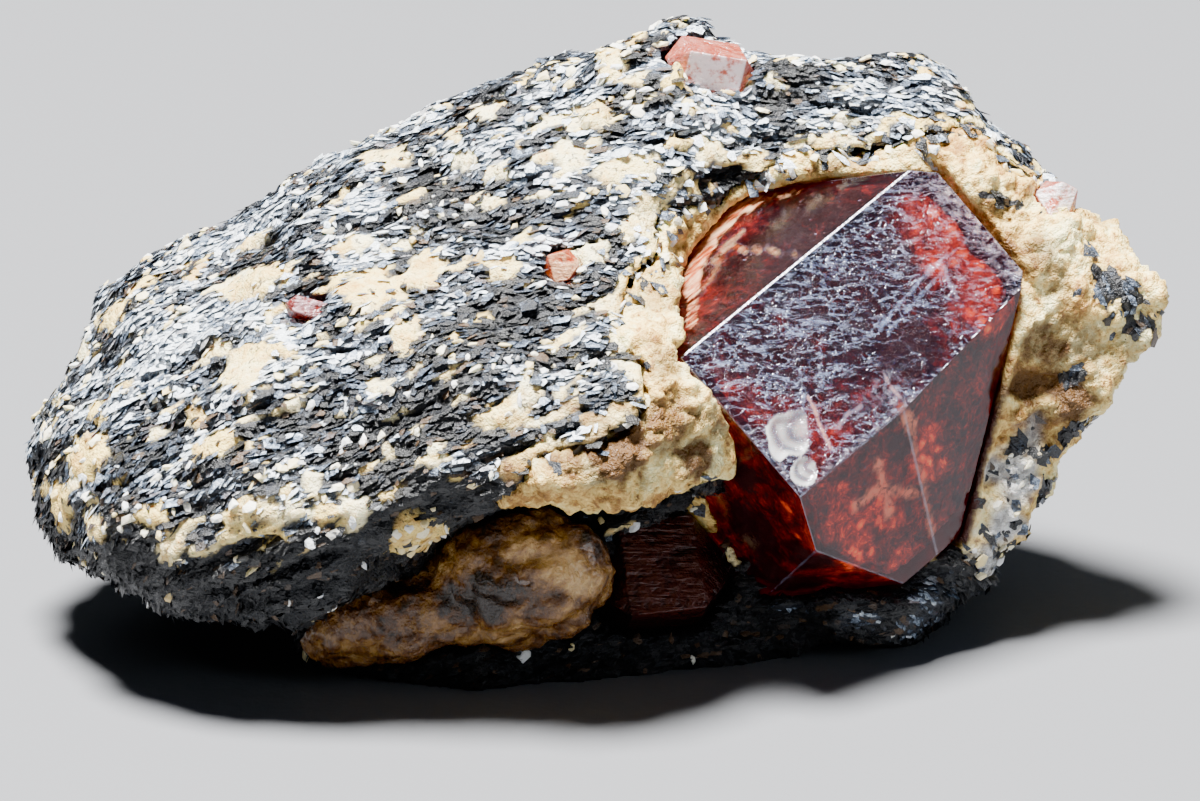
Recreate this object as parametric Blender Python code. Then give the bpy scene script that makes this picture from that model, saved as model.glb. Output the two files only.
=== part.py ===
"""Zircon crystals grown on a block of biotite mica, held by a vein of feldspar.

Metres, +Z up. The block rests on its flat foot at z = 0. +X is its length, -Y is the side with the large
crystal. The origin is on the foot's flat face, under the middle of the block.
"""

import math

import bpy
import bmesh
from mathutils import Matrix, Vector, noise

MM = 0.001

# Clearance between neighbouring solids.
GAP = 0.3 * MM

# Points closer than WELD are one point, and an edge shorter than SLIVER is no edge.
WELD = 0.005 * MM
SLIVER = 0.004 * MM

# Zircon's {101} faces lean 47.85 degrees from its {100} faces: these are the sine and the cosine.
PYRAMID_C = 0.7415
PYRAMID_A = 0.6710

# The upper mass of the block, as cross-sections along X, in millimetres. Each row is x and then the (y, z)
# of the crest, the shoulder behind it, the back, the heel, the undercut, the rim and the brow.
BODY = (
    (-25.9, (0.2, 8.4), (0.8, 8.2), (1.2, 7.4), (0.8, 6.5), (-0.6, 6.6), (-1.2, 7.4), (-0.8, 8.0)),
    (-24.4, (0.8, 12.4), (3.8, 11.4), (5.2, 8.7), (3.2, 5.6), (-3.2, 5.4), (-5.4, 8.4), (-3.4, 11.4)),
    (-21.5, (2.0, 16.2), (6.6, 14.3), (9.0, 9.5), (5.6, 3.9), (-5.8, 3.8), (-9.6, 8.4), (-6.0, 13.3)),
    (-17.0, (3.0, 18.0), (8.6, 15.8), (11.6, 10.0), (7.4, 2.8), (-7.6, 3.2), (-12.0, 8.6), (-7.4, 15.0)),
    (-12.0, (4.0, 21.1), (10.2, 18.0), (13.2, 10.6), (8.8, 1.6), (-8.4, 3.8), (-13.2, 9.2), (-7.8, 17.2)),
    (-7.0, (5.0, 23.0), (11.2, 19.6), (14.2, 11.4), (9.6, 1.0), (-8.0, 7.0), (-13.6, 12.0), (-7.4, 19.0)),
    (-2.0, (5.5, 25.2), (11.6, 21.4), (14.6, 12.0), (10.0, 1.0), (-7.4, 9.0), (-13.4, 12.6), (-6.4, 19.8)),
    (3.0, (5.6, 27.1), (11.4, 23.2), (14.4, 12.2), (9.8, 1.0), (-6.8, 9.2), (-12.4, 12.8), (-4.4, 19.2)),
    (7.0, (5.2, 25.8), (10.8, 22.8), (13.8, 12.2), (9.4, 1.2), (-5.2, 8.0), (-7.9, 13.2), (-0.6, 20.4)),
    (11.0, (5.0, 25.5), (10.2, 22.6), (13.0, 12.2), (9.0, 1.6), (-4.2, 3.6), (-5.8, 12.6), (0.4, 21.6)),
    (15.0, (4.6, 25.2), (9.2, 22.4), (12.0, 12.2), (8.2, 2.4), (-3.2, 3.2), (-3.6, 12.6), (-0.2, 21.8)),
    (18.0, (4.0, 22.2), (8.0, 19.8), (10.4, 12.4), (7.0, 4.0), (-1.8, 3.0), (-2.8, 12.2), (-1.2, 18.8)),
    (21.0, (3.2, 20.2), (6.6, 18.4), (8.4, 13.6), (5.6, 8.0), (-0.8, 7.4), (-1.6, 13.6), (-0.6, 17.8)),
    (24.0, (2.4, 18.1), (4.6, 17.2), (5.6, 14.8), (3.8, 12.4), (0.0, 12.2), (-0.6, 14.8), (0.0, 16.8)),
    (25.7, (2.0, 16.3), (2.6, 16.1), (2.8, 15.4), (2.2, 14.7), (0.8, 14.7), (0.4, 15.4), (0.8, 16.1)),
)

# The foot under it: x and then the (y, z) of its corners, from the back round the front.
FOOT = (
    (-14.2, (4.0, 4.0), (4.0, 0.6), (-4.0, 0.6), (-5.4, 1.8), (-5.0, 4.0)),
    (-12.0, (7.6, 6.0), (7.4, -1.5), (-4.4, -1.5), (-7.0, 2.4), (-6.0, 6.0)),
    (-6.0, (9.4, 6.0), (9.0, -1.5), (-6.4, -1.5), (-7.4, 1.8), (-5.4, 7.5)),
    (0.0, (9.8, 6.0), (9.4, -1.5), (-4.8, -1.5), (-6.0, 1.8), (-3.4, 9.0)),
    (6.0, (9.4, 6.0), (9.0, -1.5), (-2.4, -1.5), (-4.6, 2.2), (-2.6, 9.0)),
    (11.0, (8.8, 6.0), (8.2, -1.5), (-0.4, -1.5), (-5.0, 2.2), (-4.2, 3.8)),
    (15.0, (7.4, 6.0), (6.4, -1.5), (1.2, -1.5), (-3.8, 2.4), (-3.2, 3.9)),
    (17.4, (4.0, 6.0), (3.4, 2.4), (1.4, 2.0), (-1.6, 3.8), (-1.4, 5.4)),
)

# The grid that joins each rounded body into one skin, its unevenness as (size, height) pairs, all in
# millimetres, and about how many triangles it keeps.
ROCK_GRID = 0.55
ROCK_UNEVEN = ((9.0, 1.0), (4.2, 0.7), (2.0, 0.35))
ROCK_TRIANGLES = 4200
VEIN_GRID = 0.7
VEIN_UNEVEN = ((6.0, 1.0), (2.6, 0.6))
VEIN_TRIANGLES = 1500
LUMP_GRID = 0.5
LUMP_UNEVEN = ((4.0, 0.8), (1.8, 0.4))
LUMP_TRIANGLES = 600

# A block larger than the whole piece, in millimetres: crystals are cut from it, and it takes off the foot.
BLANK = 80.0

# The vein fills the block inside these rounded masses: centre and radii in millimetres, and the turn
# about Y in degrees.
VEIN = (
    ((10.4, 0.8, 12.8), (9.6, 9.4, 9.4), 0.0),
    ((15.6, 0.2, 19.0), (5.0, 5.0, 4.4), 0.0),
    ((0.8, -11.2, 12.2), (5.8, 4.6, 2.2), -12.0),
    ((3.6, -7.8, 16.6), (2.3, 4.6, 3.8), 0.0),
    ((5.4, -9.4, 14.0), (2.6, 3.4, 2.6), 0.0),
    ((4.4, -1.6, 18.2), (3.0, 4.0, 2.7), -20.0),
    ((21.6, 1.8, 15.4), (5.6, 6.6, 5.2), 25.0),
    ((18.6, -0.8, 9.0), (2.8, 4.2, 5.8), 25.0),
)

# The stained lump in the recess, as the vein's masses are given: a thick end and a tapering one.
LUMP = (
    ((-3.7, -7.0, 5.5), (3.9, 3.1, 3.3), 10.0),
    ((-8.2, -7.0, 3.6), (5.4, 2.6, 2.3), -22.0),
)

# The large crystal: the place of the corner where its broad face, its left face and its lower ridge meet,
# the directions of its three axes (out of the broad face, along the ridges, and its own long axis), and
# how far each face is from that corner.
MAIN_CORNER = (8.81, -11.0, 10.48)
MAIN_OUT = (0.27, -0.76, 0.59)
MAIN_RIDGE = (0.71, 0.57, 0.41)
MAIN_FACES = (
    ((1.0, 0.0, 0.0), 0.0),
    ((-1.0, 0.0, 0.0), 13.0),
    ((0.0, -1.0, 0.0), 0.0),
    ((0.0, 1.0, 0.0), 15.6),
    ((PYRAMID_A, 0.0, -PYRAMID_C), 0.0),
    ((PYRAMID_A, 0.0, PYRAMID_C), 6.0),
    ((0.0, -PYRAMID_A, -PYRAMID_C), 1.66),
    ((0.0, PYRAMID_A, -PYRAMID_C), 9.48),
    ((0.0, PYRAMID_A, PYRAMID_C), 15.8),
    ((0.0, -PYRAMID_A, PYRAMID_C), 6.6),
    ((-PYRAMID_A, 0.0, -PYRAMID_C), 8.7),
    ((-PYRAMID_A, 0.0, PYRAMID_C), 14.7),
)

# Nothing stands in front of the broad face: this much is kept clear before it, and a little round its rim.
MAIN_CLEAR = (
    ((1.0, 0.0, 0.0), 5.0),
    ((-1.0, 0.0, 0.0), 0.5),
    ((0.0, -1.0, 0.0), 0.15),
    ((0.0, 1.0, 0.0), 15.8),
    ((0.0, 0.0, -1.0), 0.2),
    ((0.0, 0.0, 1.0), 8.3),
)

# The part of the pyramid face over the broad one that lies open, as places along the ridge and out from it,
# and how far below and above the face the room over it reaches.
WINDOW_FACE = 6.0
WINDOW = (
    (15.3, 5.0),
    (0.5, 5.0),
    (0.5, 0.3),
    (0.9, -0.6),
    (1.7, -1.5),
    (3.1, -2.5),
    (4.3, -3.3),
    (5.6, -3.8),
    (7.1, -4.1),
    (8.4, -4.25),
    (9.4, -4.15),
    (10.3, -3.6),
    (11.4, -3.0),
    (12.7, -2.1),
    (14.3, -0.8),
    (15.3, 0.4),
)
WINDOW_LOW = -0.6
WINDOW_HIGH = 9.0

# The smaller zircons: centre, the direction of the long axis, turn about it, width, second width and the
# length of the prism between its two pyramids, in millimetres and degrees.
SMALL_ZIRCONS = {
    "zircon_top": ((5.0, 4.5, 25.6), (0.95, 0.2, -0.22), 138.2, 2.0, 1.75, 2.7),
    "zircon_right": ((20.7, 2.2, 19.8), (0.8, 0.3, -0.5), 20.0, 1.7, 1.5, 0.9),
    "zircon_mid": ((-1.7, -5.8, 19.45), (0.9, -0.2, 0.3), 30.0, 1.3, 1.1, 0.7),
    "zircon_sliver": ((-12.9, -5.7, 17.35), (0.95, 0.1, -0.3), 10.0, 0.8, 1.0, 1.6),
    "zircon_lower": ((2.6, -4.5, 4.1), (0.98, 0.16, 0.06), 8.0, 4.4, 4.2, 3.4),
}


def clearScene():
    for ob in list(bpy.data.objects):
        bpy.data.objects.remove(ob, do_unlink=True)


def addObject(name, mesh):
    ob = bpy.data.objects.new(name, mesh)
    bpy.context.scene.collection.objects.link(ob)
    return ob


def meshFromBmesh(name, bm):
    mesh = bpy.data.meshes.new(name)
    bm.to_mesh(mesh)
    bm.free()
    return mesh


def material(name, colour, roughness, metallic=0.0):
    mat = bpy.data.materials.new(name)
    mat.use_nodes = True
    shader = mat.node_tree.nodes["Principled BSDF"]
    shader.inputs["Base Color"].default_value = (*colour, 1.0)
    shader.inputs["Roughness"].default_value = roughness
    shader.inputs["Metallic"].default_value = metallic
    mat.diffuse_color = (*colour, 1.0)
    return mat


def wear(ob, mat):
    ob.data.materials.clear()
    ob.data.materials.append(mat)


def settle(ob):
    """Turns the object's modifiers into its mesh."""
    graph = bpy.context.evaluated_depsgraph_get()
    mesh = bpy.data.meshes.new_from_object(ob.evaluated_get(graph))
    ob.modifiers.clear()
    ob.data = mesh


def curve(points, t, closed):
    """The point at t on a smooth curve through the points, where t counts points."""
    n = len(points)
    i = int(t)
    u = t - i

    def at(k):
        return points[k % n] if closed else points[min(max(k, 0), n - 1)]

    before, start, end, after = (Vector(at(i + k)) for k in (-1, 0, 1, 2))
    return 0.5 * (
        2 * start
        + (end - before) * u
        + (2 * before - 5 * start + 4 * end - after) * u * u
        + (3 * start - before - 3 * end + after) * u * u * u
    )


def loft(name, stations, around=36, steps=5):
    """A closed body through cross-sections that stand at places along X."""
    rings = []
    for row in stations:
        section = [(y, z) for y, z in row[1:]]
        ring = [curve(section, len(section) * k / around, True) for k in range(around)]
        rings.append([Vector((row[0], y, z)) for y, z in ring])
    bm = bmesh.new()
    loops = []
    total = (len(rings) - 1) * steps
    for s in range(total + 1):
        t = min(s / steps, len(rings) - 1 - 1e-6)
        loops.append([bm.verts.new(curve([r[k] for r in rings], t, False) * MM) for k in range(around)])
    for low, high in zip(loops, loops[1:]):
        for k in range(around):
            bm.faces.new((low[k], low[(k + 1) % around], high[(k + 1) % around], high[k]))
    bm.faces.new(loops[0][::-1])
    bm.faces.new(loops[-1])
    bmesh.ops.recalc_face_normals(bm, faces=bm.faces)
    return addObject(name, meshFromBmesh(name, bm))


def roundedMass(name, centre, radii, turn, detail=4):
    """An ellipsoid turned about Y."""
    bm = bmesh.new()
    bmesh.ops.create_icosphere(bm, subdivisions=detail, radius=1.0)
    place = (
        Matrix.Translation(Vector(centre) * MM)
        @ Matrix.Rotation(math.radians(turn), 4, "Y")
        @ Matrix.Diagonal((*(Vector(radii) * MM), 1.0))
    )
    bm.transform(place)
    return addObject(name, meshFromBmesh(name, bm))


def merged(name, pieces, grid):
    """One body in place of several that overlap, its steps smoothed away."""
    bm = bmesh.new()
    for ob in pieces:
        bm.from_mesh(ob.data)
        bpy.data.objects.remove(ob, do_unlink=True)
    ob = addObject(name, meshFromBmesh(name, bm))
    remesh = ob.modifiers.new("one skin", "REMESH")
    remesh.mode = "VOXEL"
    remesh.voxel_size = grid * MM
    smooth = ob.modifiers.new("even", "SMOOTH")
    smooth.iterations = 3
    settle(ob)
    return ob


def roughen(ob, layers, seed):
    """Moves the surface in and out by noise: layers are (size, height), in millimetres."""
    mesh = ob.data
    offset = Vector((seed * 7.31, seed * 3.17, seed * 5.77))
    normals = [v.normal.copy() for v in mesh.vertices]
    for v, normal in zip(mesh.vertices, normals):
        place = v.co / MM
        height = sum(h * noise.noise(place / size + offset) for size, h in layers)
        v.co += normal * height * MM


def thin(ob, triangles):
    """Lowers the number of triangles to about the one given."""
    ob.data.calc_loop_triangles()
    decimate = ob.modifiers.new("fewer faces", "DECIMATE")
    decimate.ratio = min(1.0, triangles / len(ob.data.loop_triangles))
    decimate.use_collapse_triangulate = True
    settle(ob)


def grown(name, ob, distance):
    """A copy whose surface stands further out, to cut room for the original."""
    mesh = ob.data.copy()
    normals = [v.normal.copy() for v in mesh.vertices]
    for v, normal in zip(mesh.vertices, normals):
        v.co += normal * distance
    copy = addObject(name, mesh)
    copy.hide_render = True
    copy.display_type = "WIRE"
    return copy


def cut(ob, tool, operation="DIFFERENCE"):
    boolean = ob.modifiers.new(operation.lower(), "BOOLEAN")
    boolean.operation = operation
    boolean.solver = "EXACT"
    boolean.object = tool
    settle(ob)


def keepLargest(ob):
    """Drops the crumbs that a cut leaves beside the main body, and welds what is closer than a hair."""
    bm = bmesh.new()
    bm.from_mesh(ob.data)
    bmesh.ops.remove_doubles(bm, verts=bm.verts, dist=WELD)
    bmesh.ops.dissolve_degenerate(bm, edges=bm.edges, dist=SLIVER)
    bmesh.ops.triangulate(bm, faces=bm.faces)
    left = set(bm.verts)
    bodies = []
    while left:
        start = left.pop()
        body, edge = {start}, [start]
        while edge:
            v = edge.pop()
            for e in v.link_edges:
                other = e.other_vert(v)
                if other not in body:
                    body.add(other)
                    edge.append(other)
        left -= body
        bodies.append(body)
    keep = max(bodies, key=len)
    bmesh.ops.delete(bm, geom=[v for v in bm.verts if v not in keep], context="VERTS")
    bm.to_mesh(ob.data)
    bm.free()


def slab(name, low, high):
    bm = bmesh.new()
    bmesh.ops.create_cube(bm, size=1.0)
    middle = (Vector(low) + Vector(high)) / 2
    size = Vector(high) - Vector(low)
    bm.transform(Matrix.Translation(middle * MM) @ Matrix.Diagonal((*(size * MM), 1.0)))
    return addObject(name, meshFromBmesh(name, bm))


def crystalAxes(out, ridge):
    """Three square axes from two directions, the second straightened to the first."""
    a = Vector(out).normalized()
    b = Vector(ridge)
    b = (b - a * b.dot(a)).normalized()
    return Matrix((a, b, a.cross(b))).transposed()


def crystal(name, corner, axes, faces, growth=0.0):
    """A convex crystal: a cube cut down by each face, given as a direction and a distance from the corner."""
    bm = bmesh.new()
    bmesh.ops.create_cube(bm, size=BLANK)
    for direction, distance in faces:
        normal = Vector(direction).normalized()
        bmesh.ops.bisect_plane(
            bm,
            geom=bm.verts[:] + bm.edges[:] + bm.faces[:],
            dist=SLIVER,
            plane_co=normal * (distance + growth / MM),
            plane_no=normal,
            clear_outer=True,
        )
        rim = [e for e in bm.edges if e.is_boundary]
        if rim:
            bmesh.ops.contextual_create(bm, geom=rim)
    bmesh.ops.recalc_face_normals(bm, faces=bm.faces)
    bm.transform(Matrix.Translation(Vector(corner) * MM) @ (axes * MM).to_4x4())
    ob = addObject(name, meshFromBmesh(name, bm))
    if growth:
        ob.hide_render = True
        ob.display_type = "WIRE"
    return ob


def mainCrystal(name, growth=0.0, faces=MAIN_FACES):
    return crystal(name, MAIN_CORNER, crystalAxes(MAIN_OUT, MAIN_RIDGE), faces, growth)


def windowRoom(name):
    """A prism that stands on the open part of the pyramid face."""
    axes = crystalAxes(MAIN_OUT, MAIN_RIDGE)
    normal = Vector((PYRAMID_A, 0.0, PYRAMID_C))
    rim = [Vector((out, along, (WINDOW_FACE - PYRAMID_A * out) / PYRAMID_C)) for along, out in WINDOW]
    bm = bmesh.new()
    rings = [[bm.verts.new(v + normal * level) for v in rim] for level in (WINDOW_LOW, WINDOW_HIGH)]
    for k in range(len(rim)):
        after = (k + 1) % len(rim)
        bm.faces.new((rings[0][k], rings[0][after], rings[1][after], rings[1][k]))
    for ring in rings:
        bm.faces.new(ring)
    bmesh.ops.triangulate(bm, faces=bm.faces)
    bmesh.ops.recalc_face_normals(bm, faces=bm.faces)
    bm.transform(Matrix.Translation(Vector(MAIN_CORNER) * MM) @ (axes * MM).to_4x4())
    return addObject(name, meshFromBmesh(name, bm))


def smallCrystal(name, growth=0.0):
    """A short square prism with a pyramid on each end, its long axis along the third axis."""
    centre, along, turn, wide, deep, length = SMALL_ZIRCONS[name.removesuffix("_room")]
    c = Vector(along).normalized()
    side = c.orthogonal().normalized()
    side.rotate(Matrix.Rotation(math.radians(turn), 3, c))
    axes = Matrix((side, c.cross(side), c)).transposed()
    faces = []
    for sign in (1.0, -1.0):
        faces.append(((sign, 0.0, 0.0), wide / 2))
        faces.append(((0.0, sign, 0.0), deep / 2))
        for end in (1.0, -1.0):
            reach = PYRAMID_C * length / 2
            faces.append(((sign * PYRAMID_A, 0.0, end * PYRAMID_C), PYRAMID_A * wide / 2 + reach))
            faces.append(((0.0, sign * PYRAMID_A, end * PYRAMID_C), PYRAMID_A * deep / 2 + reach))
    return crystal(name, centre, axes, faces, growth)


def rockBlock():
    block = merged("rock", [loft("body", BODY), loft("foot", FOOT)], ROCK_GRID)
    roughen(block, ROCK_UNEVEN, 1)
    thin(block, ROCK_TRIANGLES)
    below = slab("below", (-BLANK, -BLANK, -BLANK), (BLANK, BLANK, 0.0))
    cut(block, below)
    bpy.data.objects.remove(below, do_unlink=True)
    return block


def unionOf(name, masses, grid):
    return merged(name, [roundedMass(f"mass{i}", *mass) for i, mass in enumerate(masses)], grid)


def veinSpace():
    space = unionOf("vein space", VEIN, VEIN_GRID)
    roughen(space, VEIN_UNEVEN, 2)
    thin(space, VEIN_TRIANGLES)
    return space


def feldsparLump():
    lump = unionOf("feldspar_lump", LUMP, LUMP_GRID)
    roughen(lump, LUMP_UNEVEN, 3)
    thin(lump, LUMP_TRIANGLES)
    return lump


def build():
    clearScene()
    biotite = material("biotite", (0.06, 0.065, 0.075), 0.35, 0.3)
    feldspar = material("feldspar", (0.80, 0.68, 0.48), 0.6)
    stained = material("stained feldspar", (0.45, 0.31, 0.16), 0.55)
    deepRed = material("deep red zircon", (0.22, 0.03, 0.03), 0.1)
    pink = material("pink zircon", (0.62, 0.25, 0.2), 0.2)

    matrix = rockBlock()
    matrix.name = "biotite_matrix"
    vein = addObject("feldspar_vein", matrix.data.copy())
    space = veinSpace()
    cut(vein, space, "INTERSECT")
    room = grown("vein room", space, GAP)
    cut(matrix, room)
    lump = feldsparLump()
    lumpRoom = grown("lump room", lump, GAP)
    crystals = {"zircon_main": mainCrystal("zircon_main")}
    tools = [mainCrystal("zircon_main_room", GAP), mainCrystal("clear_front", GAP, MAIN_CLEAR)]
    tools.append(windowRoom("clear_top"))
    for name in SMALL_ZIRCONS:
        crystals[name] = smallCrystal(name)
        tools.append(smallCrystal(name + "_room", GAP))
    for tool in [lumpRoom] + tools:
        for ob in (matrix, vein):
            cut(ob, tool)
    cut(lump, tools[-1])
    for ob in (matrix, vein, lump):
        keepLargest(ob)
    for tool in [space, room, lumpRoom] + tools:
        bpy.data.objects.remove(tool, do_unlink=True)

    wear(matrix, biotite)
    wear(vein, feldspar)
    wear(lump, stained)
    for name, ob in crystals.items():
        wear(ob, pink if name in ("zircon_top", "zircon_right") else deepRed)


build()
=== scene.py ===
import math

import bmesh
import bpy
import numpy as np
from mathutils import Matrix, Vector, noise
from mathutils.bvhtree import BVHTree


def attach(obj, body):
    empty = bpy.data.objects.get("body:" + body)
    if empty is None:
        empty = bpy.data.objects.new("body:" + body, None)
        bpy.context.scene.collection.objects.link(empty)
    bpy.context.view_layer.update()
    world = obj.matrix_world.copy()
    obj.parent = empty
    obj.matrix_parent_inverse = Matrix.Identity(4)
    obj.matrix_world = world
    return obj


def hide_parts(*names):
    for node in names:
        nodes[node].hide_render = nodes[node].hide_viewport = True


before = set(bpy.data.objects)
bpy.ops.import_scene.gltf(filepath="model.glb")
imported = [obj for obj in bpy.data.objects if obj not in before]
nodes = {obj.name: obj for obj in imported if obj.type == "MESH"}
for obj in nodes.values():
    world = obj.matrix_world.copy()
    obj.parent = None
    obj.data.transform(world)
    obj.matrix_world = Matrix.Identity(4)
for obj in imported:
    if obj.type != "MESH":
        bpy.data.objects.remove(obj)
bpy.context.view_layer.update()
mm = 0.001
print("frame loaded:", len(nodes), "nodes")


def mathsStep(operation):
    # a method of Wire that puts the socket through one maths node
    return lambda self, *others: self.maths(operation, self, *others)


class Wire:
    # one socket of a tree, used in sums like a number
    def __init__(self, tree, socket):
        self.tree = tree
        self.socket = socket

    def maths(self, operation, *values):
        return self.tree.add("ShaderNodeMath", {"operation": operation}, dict(enumerate(values)))

    def __rsub__(self, other):
        return self.maths("SUBTRACT", other, self)

    __add__ = __radd__ = mathsStep("ADD")
    __mul__ = __rmul__ = mathsStep("MULTIPLY")
    __sub__ = mathsStep("SUBTRACT")
    most = mathsStep("MAXIMUM")
    least = mathsStep("MINIMUM")
    size = mathsStep("ABSOLUTE")
    part = mathsStep("FRACT")  # what stands after the decimal point

    def ease(self, low, high):
        # 0 below low, 1 above high and a smooth rise between
        limits = {"Value": self, "From Min": low, "From Max": high}
        return self.tree.add("ShaderNodeMapRange", {"interpolation_type": "SMOOTHSTEP"}, limits)

    def out(self, name):
        return Wire(self.tree, self.socket.node.outputs[name])


class Tree:
    def __init__(self, tree):
        self.tree = tree
        self.here = None
        tree.nodes.clear()

    def add(self, kind, settings=None, sockets=None, out=0):
        node = self.tree.nodes.new(kind)
        for name, value in (settings or {}).items():
            setattr(node, name, value)
        for name, value in (sockets or {}).items():
            socket = node.inputs[name]
            if isinstance(value, Wire):
                self.tree.links.new(value.socket, socket)
            else:
                socket.default_value = (*value, 1.0) if socket.type == "RGBA" else value
        return Wire(self, node.outputs[out]) if node.outputs else node

    def place(self):
        # the place on the object: one node for the whole tree
        self.here = self.here or self.add("ShaderNodeTexCoord", out="Object")
        return self.here

    def fields(self, *names):
        return [self.add("ShaderNodeAttribute", {"attribute_name": name}, out="Fac") for name in names]

    def vectors(self, operation, *values, out=0):
        return self.add("ShaderNodeVectorMath", {"operation": operation}, dict(enumerate(values)), out)

    def sized(self, size, at):
        # the vector and the scale for patches of this size in mm: one number, or one for each direction
        at = at or self.place()
        if not isinstance(size, tuple):
            return {"Vector": at, "Scale": 1 / (size * mm)}
        scales = [1 / (s * mm) for s in size]
        return {"Vector": self.add("ShaderNodeMapping", None, {"Vector": at, "Scale": scales}), "Scale": 1.0}

    def noise(self, size, detail=3.0, roughness=0.55, warp=0.0, at=None):
        sockets = {**self.sized(size, at), "Detail": detail, "Roughness": roughness, "Distortion": warp}
        return self.add("ShaderNodeTexNoise", None, sockets)

    def cells(self, size, feature="F1", at=None):
        return self.add("ShaderNodeTexVoronoi", {"feature": feature}, self.sized(size, at))

    def blend(self, share, first, second):
        return self.add("ShaderNodeMix", {"data_type": "RGBA"}, {0: share, 6: first, 7: second}, 2)

    def mix(self, share, first, second):
        return self.add("ShaderNodeMixShader", None, {0: share, 1: first, 2: second})

    def ramp(self, value, stops):
        made = self.add("ShaderNodeValToRGB", None, {"Fac": value})
        elements = made.socket.node.color_ramp.elements
        while len(elements) < len(stops):
            elements.new(0.5)
        for element, (place, colour) in zip(elements, stops):
            element.position = place
            element.color = (*colour, 1.0)
        return made

    def bump(self, height, depth, strength=1.0):
        # height 0 to 1 stands for a relief of this depth in mm
        sockets = {"Height": height, "Distance": depth * mm, "Strength": strength}
        return self.add("ShaderNodeBump", None, sockets)

    def principled(self, colour, roughness, relief=None, glow=None, **sockets):
        # glow: the share of light that comes back out of the stone, how deep it goes in mm, and its colours
        sockets = {name.replace("_", " "): value for name, value in sockets.items()}
        sockets["Base Color"], sockets["Roughness"] = colour, roughness
        if relief is not None:
            sockets["Normal"] = relief
        if glow:
            sockets["Subsurface Weight"], depth, sockets["Subsurface Radius"] = glow
            sockets["Subsurface Scale"] = depth * mm
        return self.add("ShaderNodeBsdfPrincipled", None, sockets)

    def finish(self, surface, volume=None):
        sockets = {"Surface": surface} if volume is None else {"Surface": surface, "Volume": volume}
        self.add("ShaderNodeOutputMaterial", None, sockets)
        return self.owner


def newMaterial(name):
    mat = bpy.data.materials.new(name)
    mat.use_nodes = True
    t = Tree(mat.node_tree)
    t.owner = mat
    return t


def addObject(name, data):
    ob = bpy.data.objects.new(name, data)
    bpy.context.scene.collection.objects.link(ob)
    return ob


# lengths in mm, lamps in watts
studio = {
    "elevation": 20.0,  # degrees the camera stands above the floor
    "distance": 300.0,
    "aim": (0.0, 0.0, 11.0),
    "frame": (1200, 801),
    "pixel": 0.0456,  # what a pixel of that frame covers at the aim
    "sensor": 36.0,
    "nearest": 1.0,  # the camera sees nothing closer than this
    "floor": (0.165, 0.17, 0.18),
    "floorHalf": 1500,
    "floorRoughness": 0.7,
    "sky": (0.62, 0.72, 0.88),
    "skyStrength": 0.075,
    "backdrop": (0.11, 0.113, 0.118),  # what shows above the floor's far edge
    "backdropStrength": 1.0,
    "look": "AgX - Punchy",
}
lamps = {
    "key": {"from": (-90, -60, 760), "size": 245, "power": 84.0, "colour": (1.0, 0.985, 0.97)},
    "side": {"from": (200, -120, 90), "size": 90, "power": 0.18, "colour": (0.9, 0.95, 1.0)},
    "front": {"from": (-120, -240, 60), "size": 160, "power": 0.04, "colour": (0.92, 0.96, 1.0)},
    "back": {"from": (-110, 210, 240), "size": 220, "power": 0.1, "colour": (0.88, 0.94, 1.0)},
    "face": {"from": (155, -140, 235), "size": 200, "power": 0.045, "colour": (0.55, 0.7, 1.0)},
}


def viewAxes():
    # to the right of the frame, up it, and towards the camera
    lift = math.radians(studio["elevation"])
    right = Vector((1, 0, 0))
    back = Vector((0, -math.cos(lift), math.sin(lift)))
    return right, back.cross(right), back


def eyePlace():
    return Vector(studio["aim"]) + viewAxes()[2] * studio["distance"]


def makeCamera():
    right, up, back = viewAxes()
    data = bpy.data.cameras.new("camera")
    data.sensor_width = studio["sensor"]
    data.lens = studio["sensor"] * studio["distance"] / (studio["frame"][0] * studio["pixel"])
    data.clip_start = studio["nearest"] * mm
    camera = addObject("camera", data)
    turn = Matrix((right, up, back)).transposed().to_4x4()
    camera.matrix_world = Matrix.Translation(eyePlace() * mm) @ turn
    bpy.context.scene.camera = camera


def makeWorld():
    world = bpy.data.worlds.new("studio")
    world.use_nodes = True
    t = Tree(world.node_tree)
    sky, backdrop = (
        t.add("ShaderNodeBackground", None, {"Color": studio[name], "Strength": studio[name + "Strength"]})
        for name in ("sky", "backdrop")
    )
    seen = t.add("ShaderNodeLightPath")
    t.add("ShaderNodeOutputWorld", None, {"Surface": t.mix(seen, sky, backdrop)})
    bpy.context.scene.world = world


def makeLamp(name, lamp):
    data = bpy.data.lights.new(name, "AREA")
    data.shape = "DISK"
    data.size = lamp["size"] * mm
    data.energy = lamp["power"]
    data.color = lamp["colour"]
    light = addObject(name, data)
    light.location = Vector(lamp["from"]) * mm
    light.rotation_euler = (light.location - Vector(studio["aim"]) * mm).to_track_quat("Z", "Y").to_euler()


def makeFloor():
    mesh = bpy.data.meshes.new("floor")
    half = studio["floorHalf"] * mm
    corners = [(-half, -half, 0), (half, -half, 0), (half, half, 0), (-half, half, 0)]
    mesh.from_pydata(corners, [], [(0, 1, 2, 3)])
    t = newMaterial("floor")
    relief = t.bump(t.noise(0.5, 2), 0.05, 0.3)
    mesh.materials.append(t.finish(t.principled(studio["floor"], studio["floorRoughness"], relief)))
    addObject("floor", mesh)


makeCamera()
makeWorld()
bpy.context.scene.view_settings.look = studio["look"]
for name, lamp in lamps.items():
    makeLamp(name, lamp)
makeFloor()
print("studio set")


def meshFrom(name, bm):
    mesh = bpy.data.meshes.new(name)
    bm.to_mesh(mesh)
    bm.free()
    return mesh


def joined(node):
    # the node's loose triangles, joined at their corners
    bm = bmesh.new()
    bm.from_mesh(nodes[node].data)
    bmesh.ops.remove_doubles(bm, verts=bm.verts, dist=0.0005 * mm)
    return bm


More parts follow.
